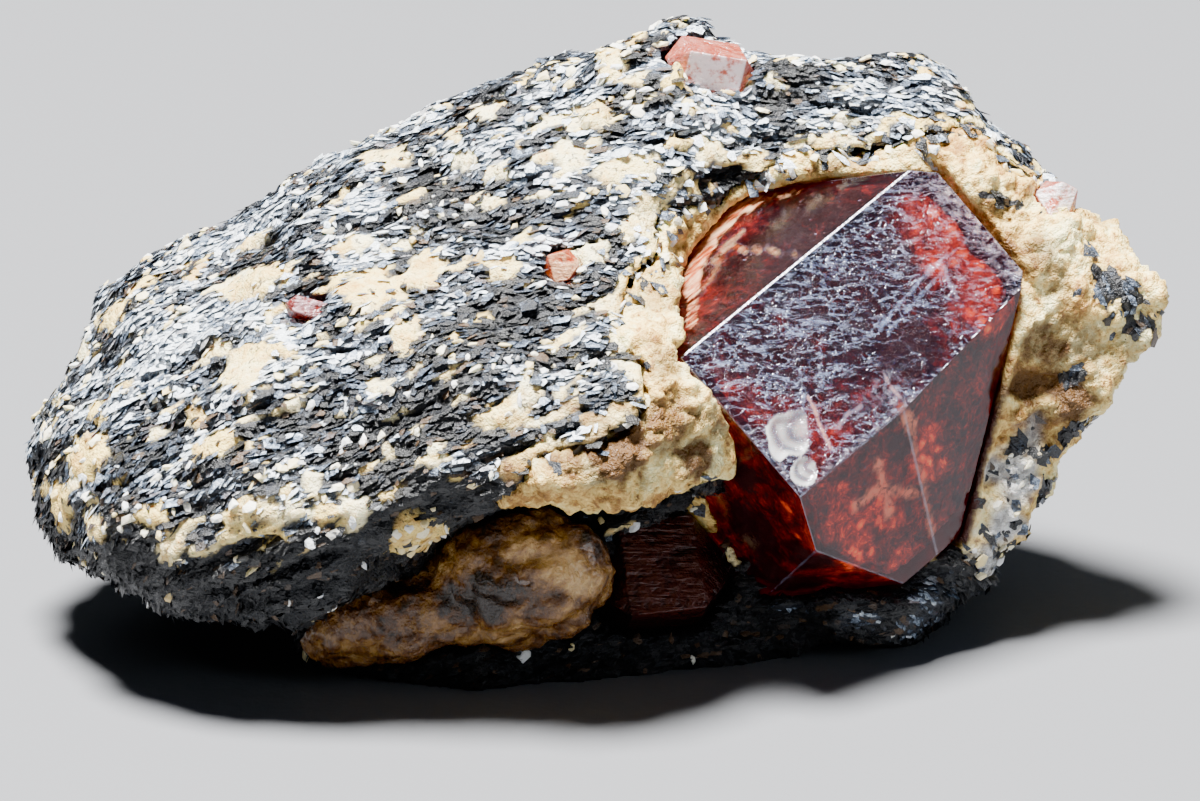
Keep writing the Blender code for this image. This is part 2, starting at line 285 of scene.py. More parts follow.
def mergeFlat(bm):
    # one face for all the triangles that lie in one plane
    bmesh.ops.dissolve_limit(bm, angle_limit=math.radians(1), verts=bm.verts, edges=bm.edges)


def settled(ob):
    # the object's modifiers made part of its mesh
    graph = bpy.context.evaluated_depsgraph_get()
    mesh = bpy.data.meshes.new_from_object(ob.evaluated_get(graph))
    mesh.name = ob.name
    ob.modifiers.clear()
    ob.data = mesh
    return ob


def fineSkin(ob, grid, rounds=0):
    remesh = ob.modifiers.new("fine skin", "REMESH")
    remesh.mode = "VOXEL"
    remesh.voxel_size = grid * mm
    remesh.use_smooth_shade = True
    if rounds:
        even = ob.modifiers.new("even", "SMOOTH")
        even.iterations = rounds
    return settled(ob)


def fineCopy(node, name, grid, rounds=0):
    return fineSkin(addObject(name, meshFrom(name, joined(node))), grid, rounds)


def read(items, name, width=1, kind=np.float32):
    # one value of every item, as rows where it has several numbers
    found = np.empty(len(items) * width, kind)
    items.foreach_get(name, found)
    return found.reshape(-1, width) if width > 1 else found


def placesOf(mesh):
    return read(mesh.vertices, "co", 3).astype(float) / mm


def partsOf(ob):
    # its mesh, and the places and normals of its points
    return ob.data, placesOf(ob.data), read(ob.data.vertex_normals, "vector", 3).astype(float)


def setPlaces(mesh, places):
    mesh.vertices.foreach_set("co", (places * mm).astype(np.float32).ravel())
    mesh.update()


def setFields(mesh, **fields):
    for name, values in fields.items():
        values = np.asarray(values, np.float32)
        kind, part = ("FLOAT_VECTOR", "vector") if values.ndim == 2 else ("FLOAT", "value")
        mesh.attributes.new(name, kind, "POINT").data.foreach_set(part, values.ravel())


def rough(places, sizes, seed):
    # even noise from -1 to 1 over the places, in patches of these sizes
    return np.array([noise.noise(p) for p in (places / np.asarray(sizes, float) + seed * 13.7).tolist()])


def lumps(places, sizes, seed):
    # rounded cells: 1 in the middle of each, 0 where they meet
    scaled = (places / np.asarray(sizes, float) + seed * 7.3).tolist()
    near = np.array([noise.voronoi(p)[0][:2] for p in scaled])
    return np.clip((near[:, 1] - near[:, 0]) * 1.6, 0, 1)


def ease(values, low, high):
    t = np.clip((values - low) / (high - low), 0, 1)
    return t * t * (3 - 2 * t)


def addPiece(ob, node=None):
    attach(ob, "root")
    if node:
        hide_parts(node)


def tell(stage, ob):
    ob.data.calc_loop_triangles()
    print(stage + ":", len(ob.data.loop_triangles), "triangles")


def hitFrom(tree, across, down):
    # the first point of a surface behind this spot of the frame
    right, up, _ = viewAxes()
    wide, high = studio["frame"]
    eye = eyePlace()
    spot = Vector(studio["aim"]) + (right * (across - wide / 2) - up * (down - high / 2)) * studio["pixel"]
    ray = (spot - eye).normalized()
    found = tree.ray_cast(eye * mm, ray)
    return (found[0] / mm, found[1], ray) if found[0] else (None, None, ray)


def surfaceOf(mesh):
    return BVHTree.FromPolygons([v.co for v in mesh.vertices], [p.vertices for p in mesh.polygons])


def gapTo(tree, places):
    # how far each place is from a surface in mm, and which way that surface faces there
    far = np.empty(len(places))
    facing = np.empty((len(places), 3))
    for k, place in enumerate((places * mm).tolist()):
        near, normal, _, distance = tree.find_nearest(place)
        outside = distance > 1.5 * mm or (Vector(place) - near).dot(normal) >= 0
        far[k] = distance / mm * (1 if outside else -1)
        facing[k] = normal
    return far, facing


def markField(find, places, marks, wobble):
    # soft round marks: across and down the frame, reach in mm and depth; find turns a spot into a place
    found = np.zeros(len(places))
    for across, down, reach, depth in marks:
        spot = find(across, down)
        if spot is not None:
            far = np.linalg.norm(places - np.array(spot), axis=1) + wobble * reach
            found = np.maximum(found, depth * (1 - ease(far, reach * 0.4, reach * 1.1)))
    return found


def strandField(find, places, strands, wobble):
    # thin lines through spots of the frame: half width in mm, depth, and the spots
    found = np.zeros(len(places))
    for wide, depth, *spots in strands:
        line = [np.array(place) for place in (find(*spot) for spot in spots) if place is not None]
        for start, end in zip(line, line[1:]):
            run = end - start
            t = np.clip((places - start) @ run / (run @ run), 0, 1)
            far = np.linalg.norm(places - start - t[:, None] * run, axis=1) + wobble
            found = np.maximum(found, depth * (1 - ease(far, wide * 0.5, wide)))
    return found


def onSurface(tree):
    return lambda across, down: hitFrom(tree, across, down)[0]


crystalSurface = surfaceOf(nodes["zircon_main"].data)
rockSurface = surfaceOf(nodes["biotite_matrix"].data)
veinSurface = surfaceOf(nodes["feldspar_vein"].data)


# how steeply the mica layers rise along the block: (place along it in mm, rise per mm)
layering = {
    "rise": (
        (-27, 0.75), (-20, 0.55), (-12, 0.36), (-4, 0.3), (3, 0.3),
        (8, 0.02), (14, -0.22), (20, -0.6), (27, -0.9),
    ),
    "dip": 0.25,  # how much the layers rise towards the front
}


def layerRise(x):
    return np.interp(x, *zip(*layering["rise"]))


steps = np.linspace(-30, 30, 601)  # places along the block in mm
heights = np.cumsum(layerRise(steps)) * (steps[1] - steps[0])  # how high one layer stands at each


def layerDepth(places):
    # which layer a place is in: places on one layer share a number
    wave = 0.5 * rough(places, (9, 7, 30), 3)
    return places[:, 2] - np.interp(places[:, 0], steps, heights) + layering["dip"] * places[:, 1] + wave


def unit(vectors):
    return vectors / np.linalg.norm(vectors, axis=1, keepdims=True)


# feldspar patches in the mica: across and down the frame, half width and half height in frame pixels,
# turn in degrees, how yellow (0 white, 1 golden) and how far it stands out in mm
patches = (
    (254, 281, 44, 17, 10, 0.45, 0.10), (142, 290, 17, 10, 35, 0.55, 0.25),
    (112, 315, 24, 14, 45, 0.45, 0.15), (98, 412, 13, 7, 0, 0.9, 0.2), (89, 455, 23, 27, 0, 0.8, 0.35),
    (63, 510, 15, 25, 0, 0.75, 0.3), (92, 576, 9, 9, 0, 0.6, 0.3), (240, 372, 32, 25, 20, 0.4, 0.1),
    (268, 348, 36, 9, 5, 0.5, 0.1), (198, 414, 13, 10, 30, 0.5, 0.1),
    (210, 447, 22, 13, 25, 0.55, 0.12), (155, 516, 18, 11, 15, 0.55, 0.35),
    (236, 513, 20, 14, 20, 0.45, 0.35), (267, 517, 17, 13, 0, 0.4, 0.4),
    (300, 513, 14, 14, 0, 0.05, 0.4), (236, 534, 18, 8, 10, 0.45, 0.3), (270, 537, 16, 8, 5, 0.6, 0.3),
    (172, 549, 17, 10, 15, 0.3, 0.3), (204, 548, 13, 9, 30, 0.35, 0.3),
    (318, 482, 8, 14, -10, 0.0, 0.3), (350, 510, 15, 17, 30, 0.1, 0.35),
    (325, 510, 15, 13, 0, 0.6, 0.3), (96, 525, 10, 9, 0, 0.4, 0.25), (382, 158, 30, 14, -12, 0.35, 0.1),
    (461, 160, 14, 8, 0, 0.1, 0.1), (488, 113, 15, 10, 10, 0.05, 0.12),
    (499, 172, 15, 9, 15, 0.05, 0.1), (488, 197, 21, 8, -8, 0.25, 0.15),
    (416, 236, 14, 5, 0, 0.05, 0.1), (367, 242, 12, 12, 0, 0.05, 0.1),
    (375, 286, 28, 23, 10, 0.45, 0.12), (424, 274, 26, 19, 35, 0.45, 0.12),
    (506, 267, 16, 9, 10, 0.4, 0.1), (405, 335, 17, 14, 30, 0.4, 0.15),
    (567, 152, 22, 19, 35, 0.2, 0.12), (599, 119, 19, 16, 20, 0.4, 0.5),
    (611, 65, 15, 21, 25, 0.4, 0.35), (673, 84, 12, 19, -8, 0.7, 0.5), (742, 80, 15, 15, 20, 0.0, 0.6),
    (690, 109, 9, 10, 0, 0.4, 0.3), (626, 170, 38, 12, 8, 0.35, 0.12),
    (562, 121, 26, 11, 10, 0.1, 0.08), (714, 152, 18, 16, 10, 0.3, 0.15),
    (760, 182, 30, 10, 12, 0.2, 0.1), (452, 136, 16, 6, 8, 0.4, 0.08),
    (525, 396, 10, 24, -15, 0.2, 0.35), (502, 418, 29, 17, 15, 0.45, 0.35),
    (436, 456, 11, 13, 0, 0.1, 0.35), (381, 452, 8, 9, 0, 0.15, 0.3), (418, 535, 33, 27, 20, 0.75, 0.5),
    (585, 255, 22, 12, 15, 0.15, 0.1), (640, 225, 26, 14, 12, 0.3, 0.1),
    (655, 200, 20, 9, 10, 0.35, 0.1), (850, 118, 16, 5, -8, 0.1, 0.1),
    (905, 140, 20, 6, -15, 0.15, 0.1), (800, 140, 16, 8, 5, 0.25, 0.1), (775, 82, 12, 7, 0, 0.1, 0.15),
    (845, 66, 10, 5, 0, 0.05, 0.15),
)


# where the mica is silvery, partly painted glints, and where it is dark, partly painted shade: across and
# down the frame, reach in mm and how much
silverMicaAndGlints = (
    (175, 355, 3.0, 0.3), (105, 375, 2.0, 0.25), (290, 358, 1.8, 0.25), (486, 164, 1.6, 0.4),
    (418, 118, 1.8, 0.35), (318, 236, 1.2, 0.4), (364, 243, 1.0, 0.5), (560, 60, 1.6, 0.25),
    (728, 72, 2.0, 0.5), (820, 62, 1.8, 0.3), (640, 205, 1.8, 0.35), (600, 160, 2.0, 0.3),
    (715, 140, 2.0, 0.3), (620, 330, 1.6, 0.25), (900, 120, 2.0, 0.2), (860, 100, 2.0, 0.3),
    (930, 150, 1.5, 0.3), (930, 605, 2.2, 1.0), (870, 612, 1.6, 0.8), (985, 585, 1.4, 1.0),
    (945, 574, 1.2, 1.0), (240, 330, 1.8, 0.35), (360, 340, 1.6, 0.3), (755, 84, 1.2, 0.5),
    (850, 110, 2.0, 0.25), (160, 468, 1.3, 0.3),
)
darkMicaAndShade = (
    (364, 186, 2.2, 0.5), (450, 205, 2.0, 0.45), (400, 250, 1.6, 0.3), (307, 226, 1.8, 0.3),
    (612, 240, 1.4, 0.5), (107, 345, 1.0, 0.4), (340, 420, 2.6, 0.35), (430, 395, 2.6, 0.4),
    (520, 330, 2.4, 0.35), (400, 482, 1.6, 1.0), (480, 430, 1.4, 0.4), (120, 520, 1.7, 0.5),
    (300, 400, 1.8, 0.25), (415, 195, 1.6, 0.35), (605, 205, 1.4, 0.35), (200, 530, 2.4, 0.45),
    (130, 545, 1.8, 0.5), (637, 96, 1.3, 0.8), (641, 56, 0.9, 0.8), (774, 106, 1.2, 0.4),
    (609, 127, 0.7, 0.9), (316, 275, 1.0, 0.7), (560, 300, 1.6, 0.3), (240, 470, 2.0, 0.3),
    (930, 140, 1.4, 0.4),
)


# brown stains on its feldspar, beside the ledge
rockStains = (
    (590, 425, 1.8, 0.6), (545, 455, 1.8, 0.7), (520, 480, 1.6, 0.7), (560, 500, 1.4, 0.6),
    (610, 400, 1.4, 0.4), (445, 540, 1.0, 0.4),
)


def patchFields(mesh, places):
    # how far inside a patch each point is (1 at its middle, 0 at its rim), and that patch's tone and lift
    tree = surfaceOf(mesh)
    right, up, back = (np.array(axis) for axis in viewAxes())
    pull = np.stack([rough(places, 1.1, 21), rough(places, 1.1, 22)], 1) * 0.5
    pull += np.stack([rough(places, 0.45, 23), rough(places, 0.45, 24)], 1) * 0.35
    inside = np.full(len(places), -9.0)
    tone = np.zeros(len(places))
    lift = np.zeros(len(places))
    for across, down, wide, high, turn, yellow, stand in patches:
        hit = hitFrom(tree, across, down)[0]
        if hit is None:
            continue
        away = places - np.array(hit)
        u, v, w = away @ right + pull[:, 0], away @ up + pull[:, 1], away @ back
        c, s = math.cos(math.radians(turn)), math.sin(math.radians(turn))
        wide, high = wide * studio["pixel"], high * studio["pixel"]
        deep = high + 2.2  # a patch reaches round a corner by about this much
        reach = 1 - np.sqrt(((u * c + v * s) / wide) ** 2 + ((v * c - u * s) / high) ** 2 + (w / deep) ** 2)
        mine = reach > inside
        inside[mine], tone[mine], lift[mine] = reach[mine], yellow, stand
    return inside, tone, lift


rock = {
    "grid": 0.25,  # mm between points of the surface
    "ledge": 0.34,  # relief of the layers
    "lens": 0.16,  # relief of the lens-shaped packets of mica
    "grain": 0.07,
    "seam": 0.3,  # depth of the dark seams between layers
    "calm": 0.75,  # how much of that relief the feldspar levels out
    "block": 0.09,  # relief of the feldspar's own blocks
    "sugar": 0.05,
    "stand": 0.8,  # share of the lift in the table of patches
    "foot": 0.35,  # flat up to this height, where it stands
    "strayLift": 0.1,
    "strayFlakes": 0.07,  # share of flakes left on the feldspar
    "glow": (0.12, 0.5, (1.0, 0.6, 0.3)),
    "micaTones": ((0.25, (0.006, 0.007, 0.009)), (0.55, (0.03, 0.035, 0.045)), (0.85, (0.22, 0.25, 0.29))),
    "white": ((1.0, 0.92, 0.58), (0.92, 0.72, 0.32)),
    "golden": ((0.98, 0.74, 0.24), (0.62, 0.32, 0.07)),
    "specks": (0.05, 0.045, 0.04),
    "stain": (0.18, 0.07, 0.014),
}


def makeRock():
    ob = fineCopy("biotite_matrix", "micaRock", rock["grid"], 2)
    mesh, places, normals = partsOf(ob)
    x, y, z = places.T
    laid = np.stack([x, y, layerDepth(places)], 1)
    inside, tone, lift = patchFields(mesh, places)

    # small stray patches, fewer where shade is painted
    # painted shade: a mask on the low front and what faces down, where the mica is darkened and grains and
    # patches are fewer
    paintedShadow = ease(-y, -2, 4) * ease(-z, -8.5, -4)  # the low front and what faces down
    paintedShadow = np.maximum(paintedShadow, ease(-normals[:, 2] + 0.15 * rough(places, 2.0, 19), -0.1, 0.3))
    stray = rough(laid, (1.7, 1.5, 0.7), 5) + 0.25 * rough(places, 0.5, 15) - 0.4 - 0.3 * paintedShadow
    gap, _ = gapTo(veinSurface, places)
    fringe = 0.62 - gap / 1.3 + 0.9 * rough(places, 1.0, 16) - paintedShadow  # feldspar spreads from the vein
    stray = np.maximum(stray, np.minimum(fringe, 0.4)) * 2.2
    more = stray > inside
    inside = np.where(more, stray, inside)
    tone = np.where(more, 0.4 + 0.5 * rough(places, 3.5, 6), tone)
    lift = np.where(more, rock["strayLift"], lift)

    find = onSurface(surfaceOf(mesh))
    ragged = 0.7 * rough(places, 0.9, 18)
    silver, dark = markField(find, places, silverMicaAndGlints, ragged), markField(find, places, darkMicaAndShade, ragged)
    cream = ease(inside, -0.02, 0.1)
    height = rock["ledge"] * rough(laid, (3.2, 2.4, 0.8), 1)
    height += rock["lens"] * rough(laid, (1.0, 0.9, 0.32), 2)
    height += rock["grain"] * rough(places, 0.5, 4)
    seam = ease(rough(laid, (3.6, 2.6, 0.5), 12), 0.22, 0.5)
    height -= rock["seam"] * seam
    height *= 1 - rock["calm"] * cream
    blocks = lumps(places, (0.8, 0.8, 0.6), 17) - 0.5
    height += cream * (rock["block"] * blocks + rock["sugar"] * rough(places, 0.5, 7))
    height += rock["stand"] * lift * ease(inside, 0, 0.4)
    base = z < rock["foot"]
    height[base] = 0
    moved = places + normals * height[:, None]
    moved[:, 2] = np.maximum(moved[:, 2], 0)
    setPlaces(mesh, moved)

    # which way the layers run along the block, and which way they face
    rise, even = layerRise(x), np.ones(len(x))
    wander = np.stack([rough(places, 4, s) for s in (31, 32, 33)], 1) * 0.35
    flow = unit(np.stack([even, 0 * rise, rise], 1) + wander)
    lie = unit(np.stack([-rise, layering["dip"] * even, even], 1) + wander)
    # the mica's tone: random layers and patches, painted light where it faces up, painted glints in the
    # silvery marks and painted shade in the dark ones
    shade = 0.5 + 0.12 * ease(normals[:, 2], 0.1, 0.7) + 0.6 * rough(laid, (5.0, 4.0, 1.5), 8)
    shade += 0.75 * rough(laid, (2.8, 2.0, 0.5), 9) - 0.4 * seam + silver - dark
    # fewer grains where shade is painted
    grit = ease(rough(laid, (3.0, 2.4, 1.2), 10), -0.3, 0.4) * (1 - cream) * (1 - 0.9 * paintedShadow) * (1 - seam)
    grit = np.maximum(grit, ease(lift, 0.24, 0.4) * ease(inside, 0.0, 0.3))
    stain = markField(find, places, rockStains, ragged)
    # painted shade: the mica darker on the low front and what faces down
    shade = np.clip(shade - 0.6 * paintedShadow, 0, 1) - 0.3 * paintedShadow
    setFields(mesh, cream=cream, tone=np.clip(tone, 0, 1), stain=stain, shade=shade)
    mica = np.maximum(1 - ease(inside, -0.06, 0.08), rock["strayFlakes"]) * (1 - 0.5 * seam)
    setFields(mesh, mica=mica * ~base, grit=grit * ~base, flow=flow, lie=lie)
    mesh.materials.append(rockFinish())
    return ob


def rockFinish():
    t = newMaterial("mica rock")
    cream, tone, shade, stain = t.fields("cream", "tone", "shade", "stain")
    fine = t.noise(0.35, 4, 0.65)
    # shade carries the mica's own tone together with its painted light and shade
    mica = t.ramp(shade * 0.6 + fine * 0.5 - 0.1, rock["micaTones"])
    cloud = t.noise(1.3, 4, 0.6)
    kind = t.noise(0.55, 4, 0.7)
    white = t.blend(kind.ease(0.4, 0.75), *rock["white"])
    golden = t.blend((kind * 0.6 + cloud * 0.5).ease(0.45, 0.8), *rock["golden"])
    feldspar = t.blend((tone * 1.3 + (kind - 0.5) * 0.8).ease(0.1, 0.8), white, golden)
    feldspar = t.blend(t.noise(0.28, 2).ease(0.6, 0.68) * 0.8, feldspar, rock["specks"])
    feldspar = t.blend((stain * (kind * 1.4 + 0.4)).least(1.0), feldspar, rock["stain"])
    relief = t.bump(fine + 0.6 * t.noise(0.12, 2) + kind, 0.22)
    roughness = 0.38 + cream * 0.12 + fine * 0.15
    return t.finish(t.principled(t.blend(cream, mica, feldspar), roughness, relief, rock["glow"]))


rockPiece = makeRock()
tell("mica rock", rockPiece)


flakes = {
    "where": "mica",  # the field that says how many lie where
    "spacing": 0.22,  # mm between flakes
    "smallest": (0.3, 0.2, 0.04),
    "largest": (1.3, 0.8, 0.14),
    "lift": 0.02,
    "spread": 0.06,
    "sink": 0.75,  # how deep the ones that stand on edge are set in
    "follow": 0.4,  # how closely they keep to the layers
    "lean": 0.28,
    "corners": (4, 5, 6, 5, 4),
    "tones": (
        (0.24, (0.004, 0.005, 0.006)), (0.44, (0.016, 0.020, 0.028)), (0.56, (0.07, 0.095, 0.14)),
        (0.68, (0.30, 0.38, 0.49)), (0.80, (0.84, 0.91, 0.97)),
    ),
    "brown": (0.16, 0.09, 0.04),
}
grains = {
    "where": "grit",
    "spacing": 0.6,
    "smallest": (0.2, 0.2, 0.12),
    "largest": (0.85, 0.7, 0.36),
    "lift": 0.03,
    "spread": 0.05,
    "sink": 0.0,
    "follow": 0.3,
    "lean": 0.5,
    "kinds": 4,
    "uneven": 0.84,
    "glow": (0.25, 0.5, (1.0, 0.75, 0.5)),
    "tones": (
        (0.0, (0.60, 0.63, 0.66)), (0.3, (0.92, 0.92, 0.89)), (0.5, (0.95, 0.88, 0.66)),
        (0.75, (0.93, 0.74, 0.36)), (1.0, (0.50, 0.30, 0.11)),
    ),
}


def plateShape(name, corners, seed):
    # a thin uneven plate about one unit across and one unit thick
    pick = np.random.default_rng(seed)
    turn = (np.arange(corners) + pick.uniform(-0.3, 0.3, corners)) * 2 * math.pi / corners
    reach = pick.uniform(0.3, 0.56, corners)
    rim = [(r * math.cos(a), r * math.sin(a)) for r, a in zip(reach, turn)]
    bend = pick.uniform(0.4, 1.2)
    points = [(x, y, 0.2 + pick.uniform(-0.2, 0.2) - bend * x * x * 2) for x, y in rim]
    points += [(0.0, 0.0, 0.35), (0.0, 0.0, -0.5)]
    above, below = corners, corners + 1
    faces = []
    for k in range(corners):
        after = (k + 1) % corners
        faces += [(above, k, after), (below, after, k)]
    mesh = bpy.data.meshes.new(name)
    mesh.from_pydata(points, [], faces)
    return bpy.data.objects.new(name, mesh)


def plates(seed):
    return [plateShape(f"plate{k}", corners, seed + k) for k, corners in enumerate(flakes["corners"])]


def grainShapes(seed):
    made = []
    for k in range(grains["kinds"]):
        bm = bmesh.new()
        bmesh.ops.create_icosphere(bm, subdivisions=1, radius=0.5)
        for v in bm.verts:
            v.co *= 1 + grains["uneven"] * noise.noise(v.co * 2.9 + Vector(((seed + k) * 9.1, 0, 0)))
        made.append(bpy.data.objects.new(f"grain{k}", meshFrom(f"grain{k}", bm)))
    return made


def scatterTree():
    group = bpy.data.node_groups.new("scatter", "GeometryNodeTree")
    inputs = {
        "Surface": "Geometry", "Shapes": "Collection", "Kinds": "Int", "Spacing": "Float",
        "Where": "String", "Seed": "Int", "Smallest": "Vector", "Largest": "Vector", "Follow": "Float",
        "Lean": "Float", "Lift": "Float", "Spread": "Float", "Sink": "Float", "Finish": "Material",
    }
    for name, kind in inputs.items():
        group.interface.new_socket(name, in_out="INPUT", socket_type="NodeSocket" + kind)
    group.interface.new_socket("Result", in_out="OUTPUT", socket_type="NodeSocketGeometry")
    t = Tree(group)
    value = t.add("NodeGroupInput").out
    seed, spacing, follow = value("Seed"), value("Spacing"), value("Follow")

    def chance(kind, low, high, shift):
        first = {"FLOAT_VECTOR": 0, "FLOAT": 2, "INT": 4}[kind]  # its sockets for this kind
        sockets = {"Seed": seed + shift, first: low, first + 1: high}
        return t.add("FunctionNodeRandomValue", {"data_type": kind}, sockets, first // 2)

    def scaled(vector, by):
        return t.add("ShaderNodeVectorMath", {"operation": "SCALE"}, {0: vector, "Scale": by})

    def named(name, kind):
        return t.add("GeometryNodeInputNamedAttribute", {"data_type": kind}, {"Name": name})

    crowd = {
        "Mesh": value("Surface"),
        "Distance Min": spacing,
        "Density Max": seed.maths("DIVIDE", 3.0, spacing * spacing),
        "Density Factor": named(value("Where"), "FLOAT"),
        "Seed": seed,
    }
    spots = t.add("GeometryNodeDistributePointsOnFaces", {"distribute_method": "POISSON"}, crowd)
    normal = spots.out("Normal")
    wild = chance("FLOAT_VECTOR", (-1, -1, -1), (1, 1, 1), 1)
    lie = t.vectors("ADD", scaled(normal, 1 - follow), scaled(named("lie", "FLOAT_VECTOR"), follow))
    lie = t.vectors("NORMALIZE", lie)
    upward = t.vectors("ADD", lie, scaled(wild, value("Lean")))
    along = t.vectors("ADD", named("flow", "FLOAT_VECTOR"), scaled(wild, 0.3))
    turned = t.add("FunctionNodeAlignRotationToVector", {"axis": "Z"}, {"Vector": upward})
    turn = {"axis": "X", "pivot_axis": "Z"}
    turned = t.add("FunctionNodeAlignRotationToVector", turn, {"Rotation": turned, "Vector": along})
    upright = t.vectors("DOT_PRODUCT", normal, lie, out="Value").size()
    shift = chance("FLOAT", -1.0, 1.0, 2) * value("Spread") + value("Lift")
    shift = shift - (0.85 - upright).most(0) * value("Sink")
    raised = t.add("GeometryNodeSetPosition", None, {"Geometry": spots, "Offset": scaled(normal, shift)})
    box = {"Collection": value("Shapes"), "Separate Children": True, "Reset Children": True}
    given = {
        "Points": raised,
        "Instance": t.add("GeometryNodeCollectionInfo", {"transform_space": "ORIGINAL"}, box),
        "Pick Instance": True,
        "Instance Index": chance("INT", 0, value("Kinds") - 1, 3),
        "Rotation": turned,
        "Scale": chance("FLOAT_VECTOR", value("Smallest"), value("Largest"), 4),
    }
    placed = t.add("GeometryNodeInstanceOnPoints", None, given)
    store = {"data_type": "FLOAT", "domain": "INSTANCE"}
    own = {"Geometry": placed, "Name": "own", "Value": chance("FLOAT", 0.0, 1.0, 5)}
    kept = t.add("GeometryNodeStoreNamedAttribute", store, own)
    real = t.add("GeometryNodeRealizeInstances", None, {"Geometry": kept})
    done = t.add("GeometryNodeSetMaterial", None, {"Geometry": real, "Material": value("Finish")})
    t.add("NodeGroupOutput", None, {"Result": done})
    return group


scatterGroup = scatterTree()


def valuesOf(mesh, name):
    return read(mesh.attributes[name].data, "value").astype(float)


def ownSquares(mesh):
    # a UV map where every scattered shape has its own square, beside shapes of like tone
    places, own = placesOf(mesh), valuesOf(mesh, "own")
    shape = np.concatenate([[0], np.cumsum(np.diff(own) != 0)])
    count = shape[-1] + 1
    first = np.searchsorted(shape, np.arange(count))
    tone = valuesOf(mesh, "shade")[first] + own[first]
    square = np.empty(count, int)
    square[np.argsort(tone)] = np.arange(count)
    side = math.ceil(math.sqrt(count))

    normals = read(mesh.polygons, "normal", 3).astype(float)
    starts = read(mesh.polygons, "loop_start", 1, np.int32)
    corners = read(mesh.loops, "vertex_index", 1, np.int32)
    shapeOfFace = shape[corners[starts]]
    flat = np.zeros((count, 3))  # the normal of each shape's largest face
    byArea = np.argsort(read(mesh.polygons, "area"))
    flat[shapeOfFace[byArea]] = normals[byArea]
    across = unit(np.cross(flat, (0.31, 0.17, 0.93)) + 1e-9)
    along = np.cross(flat, across)

    sizes = np.bincount(shape)
    middle = np.stack([np.bincount(shape, places[:, k]) / sizes for k in range(3)], 1)
    away = places - middle[shape]
    spot = np.stack([(away * across[shape]).sum(1), (away * along[shape]).sum(1)], 1)
    reach = np.zeros(count)
    np.maximum.at(reach, shape, np.abs(spot).max(1))
    spot = spot / reach[shape][:, None]
    under = (normals * flat[shapeOfFace]).sum(1) < 0
    underCorner = np.repeat(under, np.diff(np.append(starts, len(corners))))
    cell = square[shape[corners]]  # its left half is for the upper side, its right half for the under side
    u = (cell % side + 0.25 + 0.5 * underCorner + 0.23 * spot[corners, 0]) / side
    v = (cell // side + 0.5 + 0.47 * spot[corners, 1]) / side
    layer = mesh.uv_layers.new(name="OFBake")
    layer.data.foreach_set("uv", np.stack([u, v], 1).astype(np.float32).ravel())


def scatter(name, surface, shapes, finish, facts, seed, part=None):
    # shapes spread over a surface, as one plain mesh; part keeps only some of the surface's faces
    mesh = surface.data.copy()
    if part is not None:
        bm = bmesh.new()
        bm.from_mesh(mesh)
        away = [f for f in bm.faces if not part(f.calc_center_median() / mm)]
        bmesh.ops.delete(bm, geom=away, context="FACES")
        bm.to_mesh(mesh)
        bm.free()
    ob = addObject(name, mesh)
    box = bpy.data.collections.new(name + " shapes")
    for shape in shapes:
        box.objects.link(shape)
    modifier = ob.modifiers.new("scatter", "NODES")
    modifier.node_group = scatterGroup
    given = {"Shapes": box, "Kinds": len(shapes), "Finish": finish, "Seed": seed}
    given.update({key.capitalize(): facts[key] for key in ("where", "follow", "lean")})
    given.update({key.capitalize(): facts[key] * mm for key in ("spacing", "lift", "spread", "sink")})
    given.update({key.capitalize(): Vector(facts[key]) * mm for key in ("smallest", "largest")})
    for item in scatterGroup.interface.items_tree:
        if item.in_out == "INPUT" and item.name in given:
            modifier[item.identifier] = given[item.name]
    settled(ob)
    spots = placesOf(ob.data)
    spots[:, 2] = np.maximum(spots[:, 2], 0.0)
    setPlaces(ob.data, spots)
    ownSquares(ob.data)
    for shape in shapes:
        bpy.data.objects.remove(shape)
    bpy.data.collections.remove(box)
    bpy.data.meshes.remove(mesh)
    tell(name, ob)
    return ob


def flakeFinish():
    t = newMaterial("mica flakes")
    shade, own = t.fields("shade", "own")
    patch = t.noise((1.1, 0.9, 0.6), 3, 0.6)
    # shade brings the rock's painted light and shade onto each flake
    level = shade * 0.8 + own * 0.6 + patch * 0.8 - 0.635
    fine = t.noise(0.1, 4, 0.7)
    streak = t.noise((0.5, 0.5, 0.07), 3, 0.6)
    colour = t.ramp(level + (fine - 0.5) * 0.6 + (streak - 0.5) * 0.25, flakes["tones"])
    colour = t.blend((own * 7.0).part().ease(0.9, 0.95) * 0.5, colour, flakes["brown"])
    relief = t.bump(fine + streak + t.noise(0.3, 2), 0.07)
    metal = level.ease(0.3, 0.6) * 0.35
    return t.finish(t.principled(colour, 0.16 + fine * 0.3, relief, Metallic=metal, Specular_IOR_Level=0.8))


def makeFlakes():
    finish = flakeFinish()
    parts = {
        "micaFlakesLeft": lambda p: p.x < -6,
        "micaFlakesFront": lambda p: p.x >= -6 and p.y < 4,
        "micaFlakesBack": lambda p: p.x >= -6 and p.y >= 4,
    }
    for seed, (name, part) in enumerate(parts.items(), 1):
        addPiece(scatter(name, rockPiece, plates(40), finish, flakes, seed, part))


def grainFinish():
    t = newMaterial("feldspar grains")
    own, tone = t.fields("own", "tone")
    cloud = t.noise(0.7, 3)
    colour = t.ramp(own * 0.7 + cloud * 0.35 - 0.1 + tone * 0.2, grains["tones"])
    return t.finish(t.principled(colour, 0.3 + cloud * 0.25, t.bump(t.noise(0.15, 3), 0.06), grains["glow"]))


makeFlakes()
addPiece(scatter("feldsparGrains", rockPiece, grainShapes(0), grainFinish(), grains, 11))
addPiece(rockPiece, "biotite_matrix")


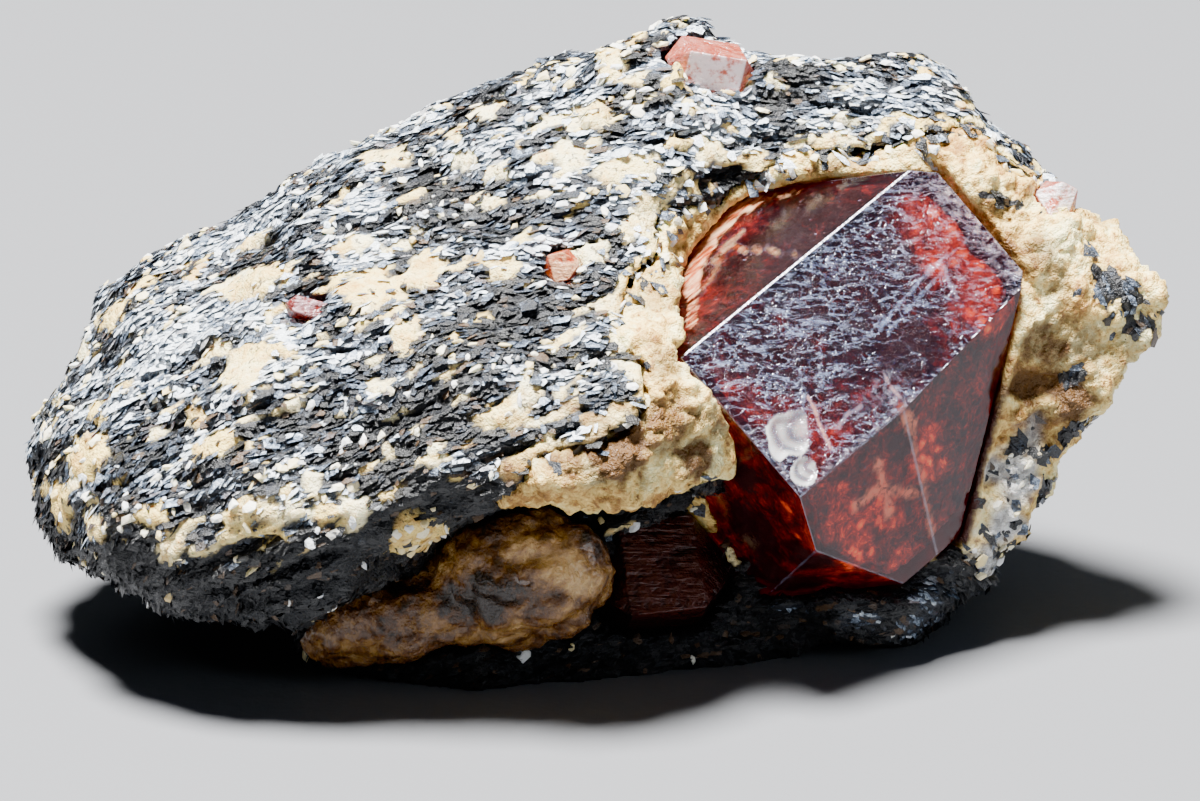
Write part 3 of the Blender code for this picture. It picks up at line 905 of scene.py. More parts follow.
vein = {
    "grid": 0.2,
    "grow": 0.16,  # fills most of the gap to its neighbours
    "lump": 0.65,  # relief of its broad lumps
    "sugar": 0.36,
    "fine": (0.16, 0.06),
    "ribs": 0.3,  # relief of the right end
    "swell": 0.12,  # how far it stands out beside the mica
    "pit": 0.25,  # how deep the stains are set in
    "seal": 0.12,  # how far it closes on the crystal
    "foot": 0.5,  # no flakes below this height
    "flakeSpacing": 0.25,
    "glow": (0.1, 0.7, (1.0, 0.65, 0.35)),
    "tones": (
        (0.44, (1.0, 0.90, 0.46)), (0.54, (0.88, 0.62, 0.20)), (0.63, (0.42, 0.21, 0.04)),
        (0.74, (0.16, 0.07, 0.015)),
    ),
    # the stains' brown, dark enough to carry painted shade on the ledge's lip as well
    "stain": (0.11, 0.047, 0.006),
    "pits": (0.22, 0.10, 0.03),
    "greys": ((0.78, 0.78, 0.76), (0.45, 0.44, 0.42)),
    "mica": (0.02, 0.02, 0.022),
    "hidden": (0.05, 0.012, 0.008),  # painted shade: dark where it backs the crystal
}

# soft marks on the vein: across and down the frame, reach in mm and depth
# brown stains, partly painted shade on the ledge's lip
stainsAndLipShade = (
    (1045, 350, 1.9, 0.7), (1028, 386, 1.3, 1.1), (1040, 250, 0.9, 0.6), (1056, 276, 0.9, 0.5),
    (590, 425, 1.8, 0.7), (680, 420, 1.6, 0.6), (660, 300, 1.6, 0.35), (990, 200, 1.2, 0.3),
    (1080, 350, 1.6, 0.5), (720, 420, 1.2, 0.6), (1130, 350, 1.4, 0.3), (545, 455, 1.6, 0.6),
    (620, 450, 2.0, 1.0), (585, 462, 1.4, 0.6), (655, 430, 1.6, 0.6), (700, 455, 1.4, 0.8),
    (1072, 400, 1.5, 1.0), (1040, 430, 1.2, 0.8), (665, 365, 1.3, 0.5), (1060, 325, 1.2, 0.5),
    (1060, 420, 1.4, 0.5), (1095, 225, 1.3, 0.35), (1010, 250, 1.2, 0.4), (835, 170, 1.2, 0.4),
)
micaMarks = (
    (1108, 288, 1.2, 1.0), (1130, 300, 1.2, 1.0), (1136, 330, 0.9, 1.0), (1096, 270, 0.6, 1.0),
    (1075, 376, 0.6, 0.9), (1018, 442, 0.6, 1.0), (1073, 432, 0.6, 1.0), (1048, 454, 0.6, 1.0),
    (1046, 488, 0.9, 1.0), (1034, 508, 0.8, 1.0), (975, 500, 0.4, 0.8), (985, 535, 0.4, 0.8),
    (955, 575, 0.8, 1.0), (935, 600, 1.2, 1.0), (905, 590, 0.9, 1.0),
)
# dark lines: half width in mm, depth, and the spots they run through
micaStrands = (
    (0.17, 1.0, (979, 195), (990, 198), (1006, 202), (1022, 204), (1042, 207), (1060, 205), (1078, 208)),
    (0.12, 0.9, (1040, 214), (1060, 214), (1080, 215)),
)
greyMarks = (
    (1015, 475, 1.6, 1.0), (1000, 525, 1.6, 1.0), (1030, 440, 1.2, 0.7), (985, 560, 1.6, 1.0),
    (950, 590, 1.8, 1.0), (910, 600, 1.4, 0.9),
)


def makeVein():
    ob = fineCopy("feldspar_vein", "creamVein", vein["grid"], 3)
    mesh, places, normals = partsOf(ob)
    find = onSurface(surfaceOf(mesh))
    wobble = 0.5 * rough(places, 0.8, 51)
    stain = markField(find, places, stainsAndLipShade, wobble)
    black = markField(find, places, micaMarks, 2 * wobble + 0.7 * rough(places, 0.4, 59))
    black = np.maximum(black, strandField(find, places, micaStrands, 0.15 * wobble))
    grey = markField(find, places, greyMarks, wobble)
    x, y, z = places.T
    nose = ease(x, 19, 22)  # its right end
    gap, facing = gapTo(crystalSurface, places)
    back = np.array(viewAxes()[2])
    # painted shade on the vein where it backs the crystal's faces that look away from the camera
    hidden = ease(-(facing @ back), -0.25, 0.05) * (1 - ease(gap, 0.4, 0.65))
    height = vein["lump"] * rough(places, (2.2, 2.2, 1.6), 52)
    height += vein["sugar"] * (lumps(places, (0.9, 0.9, 0.7), 53) - 0.4) * (1 - 0.3 * nose)
    coarse, fine = vein["fine"]
    height += coarse * (lumps(places, 0.42, 56) - 0.4) + fine * rough(places, 0.3, 54)
    height += nose * vein["ribs"] * rough(places, (0.7, 2.0, 3.0), 55)
    beside, _ = gapTo(rockSurface, places)
    rim = 1 - ease(beside + 0.6 * rough(places, 0.8, 57), 0.3, 0.8)  # where it meets the mica
    rim *= 1 - 0.9 * ease(-y, 6.5, 9)
    height += vein["swell"] * (1 - ease(beside, 0.3, 0.6)) - vein["pit"] * stain
    free = ease(gap, 0.25, 1.1)  # near the crystal the vein only closes the gap
    height = (vein["grow"] + height) * free + vein["seal"] * (1 - free)
    setPlaces(mesh, places + normals * height[:, None])
    hidden *= 1 - 0.85 * ease(x + z * 0.5, 23.5, 26)
    hidden *= 1 - 0.9 * ease(x * 0.5 + z, 23.5, 25.5)
    setFields(mesh, hidden=hidden, stain=stain, black=black, grey=grey)
    inCrystal = 1 - ease(gap, 0.5, 0.9)
    mica = np.maximum.reduce([ease(black, 0.2, 0.6), 0.16 * grey, 0.4 * rim]) * (1 - inCrystal)
    setFields(
        mesh,
        mica=np.where(z > vein["foot"], mica, 0),
        grit=np.clip(rim * 0.8 + grey * 0.3, 0, 1) * (1 - inCrystal),
        shade=0.3 + 0.35 * rim * ease(y + z * 0.6, 6, 12),
        lie=unit(normals + 0.8 * rough(places, 1.0, 58)[:, None]),
        flow=np.tile((0.6, 0.2, -0.7), (len(places), 1)),
    )
    mesh.materials.append(veinFinish())
    return ob


def veinFinish():
    t = newMaterial("cream feldspar")
    stain, black, grey, hidden = t.fields("stain", "black", "grey", "hidden")
    broad = t.noise(3.2, 4, 0.6)
    fine = t.noise(0.5, 4, 0.7)
    grit = t.noise(0.16, 2)
    kind = t.noise(1.0, 4, 0.7)
    colour = t.ramp(broad * 0.55 + fine * 0.34 + kind * 0.2, vein["tones"])
    colour = t.blend((stain * (fine * 1.6 + 0.5)).least(1.0), colour, vein["stain"])
    colour = t.blend(fine.ease(0.58, 0.68) * 0.7, colour, vein["pits"])
    colour = t.blend(grey, colour, t.blend(fine.ease(0.4, 0.6), *vein["greys"]))
    colour = t.blend(black.ease(0.35, 0.6), colour, vein["mica"])
    colour = t.blend(hidden, colour, vein["hidden"])
    relief = t.bump(fine * 0.8 + grit * 0.5 + kind * 1.2, 0.22)
    return t.finish(t.principled(colour, 0.42 + grit * 0.25, relief, vein["glow"]))


veinPiece = makeVein()
tell("cream vein", veinPiece)


def makeVeinRim():
    # mica flakes and grains along the vein's rim and in its dark spots
    mica, feldspar = (bpy.data.materials[name] for name in ("mica flakes", "feldspar grains"))
    closer = {**flakes, "spacing": vein["flakeSpacing"]}
    addPiece(scatter("veinFlakes", veinPiece, plates(60), mica, closer, 21))
    addPiece(scatter("veinGrains", veinPiece, grainShapes(5), feldspar, grains, 22))


makeVeinRim()
addPiece(veinPiece, "feldspar_vein")


lump = {
    "grid": 0.16,
    "grow": 0.1,
    "facet": 0.34,  # relief of its broad facets
    "chip": 0.08,
    "sugar": 0.05,
    "grain": 0.04,
    "coat": 0.4,
    "glow": (0.3, 1.0, (1.0, 0.55, 0.2)),
    "tones": (
        (0.34, (0.56, 0.36, 0.15)), (0.46, (0.32, 0.17, 0.055)), (0.58, (0.13, 0.055, 0.018)),
        (0.72, (0.02, 0.011, 0.006)),
    ),
}


# where it is golden and where it is darkest: across and down the frame, reach in mm and depth
goldSpots = (
    (564, 562, 1.7, 1.0), (524, 545, 1.2, 0.8), (590, 585, 1.0, 0.6), (432, 620, 1.2, 0.4),
    (510, 634, 1.2, 0.5),
)
darkSpots = ((492, 596, 1.6, 1.0), (460, 602, 1.3, 0.8), (592, 545, 0.8, 0.6))


def makeLump():
    ob = fineCopy("feldspar_lump", "stainedLump", lump["grid"])
    mesh, places, normals = partsOf(ob)
    height = lump["facet"] * (lumps(places, (2.3, 2.0, 1.9), 61) - 0.55)
    height += lump["chip"] * (lumps(places, (0.9, 0.9, 0.7), 64) - 0.5)
    height += lump["sugar"] * rough(places, 0.7, 62) + lump["grain"] * rough(places, 0.3, 63)
    setPlaces(mesh, places + normals * (lump["grow"] + height)[:, None])
    wobble = 0.35 * rough(places, 1.0, 65)
    find = onSurface(surfaceOf(mesh))
    gold, dark = (markField(find, places, marks, wobble) for marks in (goldSpots, darkSpots))
    setFields(mesh, gold=gold, dark=dark)
    mesh.materials.append(lumpFinish())
    addPiece(ob, "feldspar_lump")
    return ob


def lumpFinish():
    t = newMaterial("stained feldspar")
    gold, dark = t.fields("gold", "dark")
    broad = t.noise(2.0, 4, 0.6)
    fine = t.noise(0.5, 4, 0.7)
    colour = t.ramp(broad * 0.5 + fine * 0.45 + dark * 0.22 - gold * 0.2 + 0.08, lump["tones"])
    relief = t.bump(fine + broad + t.cells(1.1), 0.25)
    return t.finish(t.principled(colour, 0.12 + fine * 0.3, relief, lump["glow"], Coat_Weight=lump["coat"]))


lumpPiece = makeLump()
tell("stained lump", lumpPiece)


crystal = {
    "step": 0.1,  # mm between points of the broad face
    "coarse": 0.3,  # the same on the plainer faces
    "wear": 0.022,  # how far each edge is worn back
    "relief": 0.07,
    "split": ((907, 425), (935, 545), 4.0),  # a line across the lower face, and how far it turns there
    "splitWear": 0.0025,
    "chips": ((788, 434, 1.12, 0.2), (805, 470, 0.62, 0.14)),  # a spot of the frame, reach and depth in mm
    "strike": (0.8, 0.35, 0.4),  # the way from each chip's middle to where its arcs start
    "strikeReach": 0.8,
    "arcs": 9,  # how close they stand
    "index": 1.92,
    "red": (0.90, 0.16, 0.06),
    "density": 620.0,  # per metre
    "clearGlass": (1.0, 0.9, 0.86),
    "clearGloss": 0.27,
    "dust": (0.55, 0.45, 0.66),
    "rims": ((0.42, 0.08, 0.02), (0.80, 0.50, 0.30)),
    "etchedGlass": (1.0, 0.86, 0.84),
    "etchedGloss": 0.65,
    "growth": (0.46, 0.58, 0.92),  # the growth steps' pale frost, partly painted glints, and the same over the heart's painted glow
    "growthWarm": (0.85, 0.62, 0.80),
    "rime": (0.95, 0.74, 0.74),
    "chip": (0.86, 0.85, 0.86),
    "crack": (0.9, 0.32, 0.1),
    "wornGlass": (1.0, 0.85, 0.8),
    "wornFrost": (0.5, 0.55, 0.8),
    "gloss": 0.9,
    "glow": (0.3, 0.4, (1.0, 0.7, 0.6)),
}

# where the heart's painted glow shows through the broad face, where it is smooth, and where it is frosted
warmSpots = (
    (955, 235, 3.0, 1.0), (985, 285, 1.8, 1.0), (930, 195, 1.6, 0.8), (1000, 250, 1.4, 0.8),
    (735, 400, 1.5, 0.45), (765, 425, 1.2, 0.4), (822, 420, 1.3, 0.5), (815, 455, 1.0, 0.6),
)
smoothSpots = ((930, 340, 1.7, 1.0), (900, 362, 1.6, 1.0), (868, 392, 1.3, 0.8), (962, 318, 1.0, 0.8))
hazeSpots = (
    (890, 385, 1.0, 0.7), (868, 402, 0.6, 0.4), (752, 450, 0.9, 0.6), (775, 470, 0.9, 0.8),
    (795, 488, 0.6, 0.8), (740, 430, 0.6, 0.5),
)
# lines on the crystal: half width in mm, depth, and the spots they run through
creamRims = (
    (0.6, 1.0, (690, 292), (694, 268), (710, 240), (734, 213), (758, 200)),
    (0.35, 0.8, (758, 200), (800, 190)), (0.4, 0.7, (692, 325), (691, 292)),
)
faceCracks = (
    (0.11, 0.7, (808, 396), (815, 410), (820, 424), (831, 449)),
    (0.1, 0.35, (838, 428), (848, 414), (862, 406)), (0.1, 0.5, (884, 374), (892, 388), (900, 397)),
)
# painted glints along the broad face's steps
gleams = (
    (0.12, 0.9, (880, 328), (893, 312), (908, 295), (922, 278), (941, 260)),
    (0.09, 0.7, (888, 334), (905, 312), (925, 290), (946, 268)),
    (0.09, 0.6, (941, 260), (950, 284), (962, 306)), (0.08, 0.6, (941, 260), (960, 248), (975, 232)),
)
upperCracks = (
    (0.14, 0.8, (727, 246), (748, 250), (772, 250), (797, 256)),
    (0.2, 0.7, (712, 262), (727, 246), (742, 232)), (0.15, 0.6, (700, 292), (716, 270), (727, 246)),
)


def facePlanes(node):
    # the flat faces of a crystal as (normal, point, area), its corners and its edges, in mm
    bm = joined(node)
    mergeFlat(bm)
    found = [(f.normal.copy(), f.calc_center_median() / mm, f.calc_area() / mm**2) for f in bm.faces]
    corners = [v.co / mm for v in bm.verts]
    edges = []
    for e in bm.edges:
        edges.append((e.verts[0].co / mm, e.verts[1].co / mm, *(f.normal.copy() for f in e.link_faces)))
    bm.free()
    return found, corners, edges


def cutAway(bm, normal, point):
    # takes off what lies past this plane and closes the cut
    geom = bm.verts[:] + bm.edges[:] + bm.faces[:]
    bmesh.ops.bisect_plane(bm, geom=geom, dist=0.0005, plane_co=point, plane_no=normal, clear_outer=True)
    rim = [e for e in bm.edges if e.is_boundary]
    if rim:
        bmesh.ops.contextual_create(bm, geom=rim)


def volumeOf(t, density=1.0):
    # a red that deepens with the way through the crystal
    shade = {"Color": crystal["red"], "Density": crystal["density"] * density}
    return t.add("ShaderNodeVolumeAbsorption", None, shade)


def glassShader(t, colour, roughness, relief, gloss=crystal["gloss"]):
    look = {"IOR": crystal["index"], "Transmission Weight": 1.0, "Specular Tint": (gloss, gloss, gloss * 1.1)}
    return t.principled(colour, roughness, relief, **look)


def frostShader(t, colour, roughness, relief=None):
    # the thin pale coat on the glass
    return t.principled(colour, roughness, relief, crystal["glow"])


def clearFinish():
    # the smooth faces: deep red glass with a breath of haze, dust specks and a cream rim
    t = newMaterial("clear crystal")
    cream, crack, along, across = t.fields("cream", "crack", "along", "across")
    cloud = t.noise(1.6, 4, 0.65)
    fine = t.noise(0.4, 4, 0.7)
    blur = 0.03 + fine.ease(0.5, 0.8) * 0.12
    glass = glassShader(t, crystal["clearGlass"], blur, t.bump(fine, 0.015), crystal["clearGloss"])
    specks = t.noise(0.16, 1).ease(0.74, 0.78)
    haze = cloud.ease(0.35, 0.75) * 0.005 + 0.001
    # these places are in mm, so the sizes on them are in thousandths of one
    at = t.add("ShaderNodeCombineXYZ", None, {0: along, 1: across})
    streak = t.noise((1600, 260, 1000), 4, 0.65, 0.4, at=at)
    torn = (streak * 0.9 + cream * 0.35 + cloud * 0.2).ease(0.62, 0.85)
    share = (haze + specks * 0.25 + cream * torn * 0.7 + crack * fine.ease(0.3, 0.6) * 0.4).least(0.9)
    warm = t.blend(streak.ease(0.4, 0.62), *crystal["rims"])
    colour = t.blend(cream.most(crack).ease(0.02, 0.3), crystal["dust"], warm)
    return t.finish(t.mix(share, glass, frostShader(t, colour, 0.3)), volumeOf(t))


def etchedFinish():
    # the broad face: growth steps frosted on clear deep red; their pale frost is partly painted glints,
    # tinted warm over the heart's painted glow
    t = newMaterial("etched crystal face")
    along, across, warm, smooth = t.fields("along", "across", "warm", "smooth")
    frost, chip, crack, gleam = t.fields("frost", "chip", "crack", "gleam")
    level = along * 0.8 - across * 0.6  # the steps run down to the right
    climb = along * 0.6 + across * 0.8
    at = t.add("ShaderNodeCombineXYZ", None, {0: level, 1: climb})

    def terraces(long, high, count, warp, thin):
        swell = t.noise((long * 1000, high * 1000, 1000), 4, 0.6, warp, at=at)
        return swell, ((swell * count).part() - 0.5).size().ease(0.5 - thin, 0.5)

    bigSwell, bigSteps = terraces(3.2, 1.0, 5.0, 0.9, 0.1)
    smallSwell, smallSteps = terraces(1.5, 0.5, 3.6, 1.1, 0.12)
    bent = t.vectors("ADD", at, t.noise(600, 2, at=at).out("Color"))
    web = t.cells((560, 430, 1000), "DISTANCE_TO_EDGE", bent).ease(0.1, 0.0)
    wide = t.noise((1800, 1500, 1000), 3, at=at)
    shine = t.noise((700, 350, 1000), 3, 0.65, at=at)
    # frost along the growth steps, partly painted glints
    frostAndGlintLines = bigSteps * wide.ease(0.25, 0.5) + smallSteps * shine.ease(0.35, 0.58)
    frostAndGlintLines = frostAndGlintLines + web * wide.ease(0.6, 0.42) * shine.ease(0.35, 0.6) * 0.8
    frostAndGlintLines = frostAndGlintLines.least(1.0) * (shine.ease(0.3, 0.65) * 0.75 + 0.25)
    frostAndGlintLines = frostAndGlintLines * (1 - smooth * 0.85) * (1 - warm * 0.45)
    patchy = t.noise((420, 420, 1000), 4, 0.7, at=at)
    rime = frost * patchy.ease(0.42, 0.68)
    relief = t.bump(bigSwell * 0.8 + smallSwell * 0.5 + frostAndGlintLines * 0.35, 0.1)
    glass = glassShader(t, crystal["etchedGlass"], 0.08 + frostAndGlintLines * 0.25, relief, crystal["etchedGloss"])
    haze = (0.001 + wide.ease(0.35, 0.7) * 0.004) * (1 - warm * 0.8)
    share = frostAndGlintLines * 0.23 + haze + rime * 0.15 + gleam * patchy.ease(0.35, 0.6) * 0.22
    share = share.most(chip * 0.6).most(crack * patchy.ease(0.3, 0.5) * 0.5)
    colour = t.blend(warm * 0.7, crystal["growth"], crystal["growthWarm"])
    colour = t.blend(rime, colour, crystal["rime"])
    colour = t.blend(chip.ease(0.0, 0.4), colour, crystal["chip"])
    colour = t.blend(crack, colour, crystal["crack"])
    return t.finish(t.mix(share.least(0.8), glass, frostShader(t, colour, 0.4)), volumeOf(t))


def wornFinish():
    t = newMaterial("worn crystal edge")
    broken = t.noise(0.6, 4, 0.7).ease(0.35, 0.65)
    glass = glassShader(t, crystal["wornGlass"], 0.25, t.bump(t.noise(0.2, 3), 0.04))
    frost = frostShader(t, crystal["wornFrost"], 0.4)
    return t.finish(t.mix(broken * 0.1 + 0.02, glass, frost), volumeOf(t))


def crystalAxesOf(planes, edges):
    # along the broad face's longest edge, up the face, and out of it
    toward = Vector((0, -1, 0.7)).normalized()
    out = max((p for p in planes if p[0].dot(toward) > 0.8), key=lambda p: p[2])[0]
    rim = [e for e in edges if any(n.dot(out) > 0.999 for n in e[2:])]
    longest = max(rim, key=lambda e: (e[1] - e[0]).length)
    ridge = (longest[1] - longest[0]).normalized()
    ridge = ridge if ridge.x > 0 else -ridge
    return ridge, out.cross(ridge), out


def flaredBlock(ridge, across, out, spanU, spanV, depth):
    # a finely divided broad face over walls that flare so far that every other face cuts through them
    step = crystal["step"]
    columns, rows = (int((high - low) / step) + 3 for low, high in (spanU, spanV))
    bm = bmesh.new()

    def point(i, j):
        return ridge * (spanU[0] + (i - 1) * step) + across * (spanV[0] + (j - 1) * step) + out * depth

    grid = [[bm.verts.new(point(i, j)) for i in range(columns)] for j in range(rows)]
    for low, high in zip(grid, grid[1:]):
        for i in range(columns - 1):
            bm.faces.new((low[i], low[i + 1], high[i + 1], high[i]))
    loop = grid[0][:-1] + [row[-1] for row in grid[:-1]] + grid[-1][:0:-1] + [row[0] for row in grid[:0:-1]]
    middle = ridge * sum(spanU) / 2 + across * sum(spanV) / 2 + out * depth
    deep = [bm.verts.new(middle + (v.co - middle) * 30 - out * 40) for v in loop]
    for k, v in enumerate(loop):
        after = (k + 1) % len(loop)
        bm.faces.new((loop[after], v, deep[k], deep[after]))
    bm.faces.new(deep)
    bmesh.ops.recalc_face_normals(bm, faces=bm.faces)
    return bm


def divide(bm, ridge, look):
    # cuts the plain faces that look forward into small squares, for their marks
    step = crystal["coarse"]

    def facing(normal):
        return [f for f in bm.faces if f.normal.dot(normal) > 0.99999 and f.material_index == 0]

    def span(faces, axis):
        reach = [v.co.dot(axis) for f in faces for v in f.verts]
        return min(reach), max(reach)

    for normal in {tuple(f.normal) for f in bm.faces if f.calc_area() > 4 and f.material_index == 0}:
        normal = Vector(normal)
        if normal.dot(look) < 0.1 or abs(normal.dot(ridge)) > 0.5:
            continue
        for axis in (ridge, normal.cross(ridge)):
            low, high = span(facing(normal), axis)
            for k in range(int(low / step) + 1, int(high / step) + 1):
                near = []
                for f in facing(normal):
                    low, high = span([f], axis)
                    if low < k * step < high:
                        near.append(f)
                parts = {v for f in near for v in f.verts} | {e for f in near for e in f.edges} | set(near)
                place = axis * k * step
                bmesh.ops.bisect_plane(bm, geom=list(parts), dist=0.001, plane_co=place, plane_no=axis)


def broadFields(mesh, places, u, v, spanU, spanV, flags):
    # the broad face's marks and relief; u and v are places along it and up it, and flags are 1 inside its rim
    find = onSurface(crystalSurface)
    flat = np.stack([u, v, 0 * u], 1)
    wobble = 0.35 * rough(flat, (0.9, 0.9, 1), 74)
    longU, longV = spanU[1] - spanU[0], spanV[1] - spanV[0]
    chip, dent = np.zeros(len(u)), np.zeros(len(u))
    for across, down, reach, depth in crystal["chips"]:
        middle = np.array(find(across, down))
        far = np.linalg.norm(places - middle, axis=1) / reach
        far *= 1 + 0.3 * rough(flat, (0.7, 0.8, 1), 75)
        start = middle + reach * crystal["strikeReach"] * np.array(crystal["strike"])
        strike = np.linalg.norm(places - start, axis=1) / reach
        arcs = np.sin(strike * crystal["arcs"] + 1.5 * rough(flat, (0.7, 0.7, 1), 79))
        ripple = 0.34 + 0.16 * arcs + 0.5 * ease(far, 0.6, 0.95) * ease(strike, 0.4, 1.5)
        chip = np.maximum(chip, (1 - ease(far, 0.93, 1.0)) * ripple)
        dent += depth * (1 - ease(far, 0.5, 1.0)) * (0.9 + 0.1 * arcs)
    near = ease(np.minimum.reduce([u, v, longU - u, longV - v]), 0.05, 0.5)  # the relief fades at the rim
    height = -0.5 + 0.6 * rough(flat, (1.6, 0.7, 1), 71) + 0.4 * rough(flat, (0.6, 0.35, 1), 72)
    smooth = markField(find, places, smoothSpots, wobble)
    height = crystal["relief"] * height * (1 - 0.7 * smooth) - dent
    right = ease(u + 0.7 * rough(flat, (1.3, 0.7, 1), 73), longU - 1.3, longU - 0.1)
    right += ease(u + 0.3 * rough(flat, (0.5, 0.5, 1), 86), longU - 0.5, longU - 0.1)
    low = ease(-v + 0.35 * rough(flat, (0.9, 0.3, 1), 76), -0.45, 0.0)
    high = 0.25 * ease(v, longV - 0.14, longV - 0.02)
    frost = np.maximum.reduce([right, low, high, markField(find, places, hazeSpots, wobble)])
    gleam = strandField(find, places, gleams, 0.06 * rough(flat, (0.5, 0.5, 1), 85))
    warm = markField(find, places, warmSpots, wobble)
    chip = np.clip(chip, 0, 1) * flags
    setFields(mesh, along=u, across=v, smooth=smooth, gleam=gleam, chip=chip, frost=frost, warm=warm)
    return height * near * flags


def makeCrystal():
    planes, corners, edges = facePlanes("zircon_main")
    ridge, across, out = crystalAxesOf(planes, edges)
    broad = next(p for p in planes if p[0].dot(out) > 0.999)
    onFace = [c for c in corners if abs((c - broad[1]).dot(out)) < 0.01]
    spanU, spanV = ([f(c.dot(axis) for c in onFace) for f in (min, max)] for axis in (ridge, across))
    bm = flaredBlock(ridge, across, out, spanU, spanV, broad[1].dot(out))
    for normal, point, _ in planes:
        if normal.dot(out) < 0.999:
            cutAway(bm, normal, point)
    # the lower face is two faces that meet along a line
    first, second, turn = crystal["split"]
    (start, lower, _), (end, _, _) = (hitFrom(crystalSurface, *spot) for spot in (first, second))
    line = (end - start).normalized()
    tilts = (Matrix.Rotation(math.radians(turn * side), 3, line) @ lower for side in (-1, 1))
    tilted = max(tilts, key=lambda n: n.x)
    cutAway(bm, tilted, start)
    # every edge is worn back a little
    both = [(sum(sides, Vector()).normalized(), begin) for begin, _, *sides in edges if len(sides) == 2]
    worn = [(lean, begin, crystal["wear"]) for lean, begin in both]
    worn.append(((lower + tilted).normalized(), start, crystal["splitWear"]))
    for lean, point, wear in worn:
        cutAway(bm, lean, point - lean * wear)
    bmesh.ops.recalc_face_normals(bm, faces=bm.faces)
    # finishes: 0 clear, 1 etched, 2 worn
    for f in bm.faces:
        if f.normal.dot(out) > 0.999:
            f.material_index = 1
            f.smooth = True
        elif any(f.normal.dot(lean) > 0.99995 for lean, _, _ in worn):
            f.material_index = 2
    divide(bm, ridge, viewAxes()[2])
    inner = {v for v in bm.verts if all(f.material_index == 1 for f in v.link_faces)}
    flags = np.array([v in inner for v in bm.verts])
    bmesh.ops.triangulate(bm, faces=[f for f in bm.faces if len(f.verts) > 4])
    mesh = meshFrom("redCrystal", bm)
    mesh.transform(Matrix.Scale(mm, 4))
    ob = addObject("redCrystal", mesh)
    places = placesOf(mesh)
    u, v = places @ np.array(ridge) - spanU[0], places @ np.array(across) - spanV[0]
    height = broadFields(mesh, places, u, v, spanU, spanV, flags)
    find = onSurface(crystalSurface)
    wander = 0.05 * rough(places, 0.6, 77)
    wobble = 0.3 * rough(places, 0.9, 78)
    crack = strandField(find, places, faceCracks + upperCracks, wander)
    cream = strandField(find, places, creamRims, 0.5 * wobble) * (v > spanV[1] - spanV[0] - 0.5)
    setFields(mesh, crack=crack, cream=cream)
    setPlaces(mesh, places + np.array(out) * height[:, None])
    for finish in (clearFinish(), etchedFinish(), wornFinish()):
        mesh.materials.append(finish)
    addPiece(ob, "zircon_main")
    return ob


# a cloudy core inside the red crystal that gives off light of its own: a painted glow in place of light let
# through the crystal
heart = {
    "inset": 0.9,
    "grid": 0.3,
    "uneven": 0.45,
    "veil": (0.62, 0.32, 0.20),
    "light": 1.6,
    "tones": (
        (0.22, (0.012, 0.003, 0.004)), (0.36, (0.08, 0.007, 0.006)), (0.52, (0.30, 0.025, 0.012)),
        (0.64, (0.75, 0.12, 0.03)), (0.80, (1.0, 0.42, 0.12)),
    ),
}
# where its painted glow is strongest, and where that glow is dimmed to painted shade: across and down the
# frame, reach in mm and how much
paintedGlowSpots = (
    (860, 533, 1.9, 1.0), (842, 505, 1.4, 0.6), (905, 560, 1.2, 0.7), (825, 535, 1.0, 0.6),
    (955, 235, 3.0, 1.0), (985, 290, 2.0, 0.9), (930, 190, 1.5, 0.8), (1012, 350, 1.5, 1.0),
    (1000, 400, 1.6, 0.9), (985, 450, 2.4, 0.9), (960, 515, 2.0, 0.85), (930, 455, 1.8, 0.7),
    (890, 520, 1.4, 0.6), (880, 470, 1.2, 0.4), (785, 505, 0.7, 0.6), (735, 405, 1.6, 0.45),
    (825, 440, 1.5, 0.5), (715, 290, 1.6, 0.5), (740, 225, 1.4, 0.4),
)
dimmedGlowSpots = (
    (735, 470, 1.6, 1.4), (755, 530, 1.9, 1.5), (775, 580, 1.8, 1.5), (805, 560, 1.2, 1.0),
    (900, 448, 1.0, 0.5), (850, 290, 4.2, 1.0), (775, 350, 2.4, 0.8), (890, 350, 2.2, 1.0),
    (800, 225, 3.0, 0.7), (740, 270, 1.6, 0.5),
)
# a star-shaped brown veil, a tan spot and the pale seam under it
veils = (
    (0.34, 1.0, (884, 488), (856, 504)), (0.3, 1.0, (884, 488), (878, 464)),
    (0.34, 1.0, (884, 488), (914, 493)), (0.3, 0.9, (884, 488), (890, 512)),
    (0.45, 1.0, (906, 416), (912, 426)), (0.2, 0.6, (910, 430), (922, 480), (932, 535)),
)

def throughFace(tree):
    # the place on an inner surface that shows at a spot of the frame, with the bend at the crystal's face
    def find(across, down):
        point, normal, ray = hitFrom(crystalSurface, across, down)
        if point is None:
            return None
        bend = 1 / crystal["index"]
        facing = -ray.dot(normal)
        inward = ray * bend + normal * (bend * facing - math.sqrt(1 - bend**2 * (1 - facing**2)))
        hit = tree.ray_cast(point * mm, inward)[0]
        return hit / mm if hit else None

    return find


def makeHeart():
    planes, _, _ = facePlanes("zircon_main")
    bm = bmesh.new()
    bmesh.ops.create_cube(bm, size=80)
    for normal, point, _ in planes:
        cutAway(bm, normal, point - normal * heart["inset"])
    bm.transform(Matrix.Scale(mm, 4))
    ob = addObject("redHeart", meshFrom("redHeart", bm))
    mesh, places, normals = partsOf(fineSkin(ob, heart["grid"]))
    height = heart["uneven"] * (rough(places, 2.4, 81) + 0.6 * rough(places, 1.0, 82))
    setPlaces(mesh, places + normals * height[:, None])
    find = throughFace(surfaceOf(mesh))
    places = placesOf(mesh)
    ragged = 0.4 * rough(places, 1.1, 83)
    fire = markField(find, places, paintedGlowSpots, ragged) - markField(find, places, dimmedGlowSpots, ragged)
    setFields(mesh, fire=fire, veil=strandField(find, places, veils, 0.1 * rough(places, 0.7, 84)))
    mesh.materials.append(glowingHeartFinish())
    addPiece(ob)
    return ob


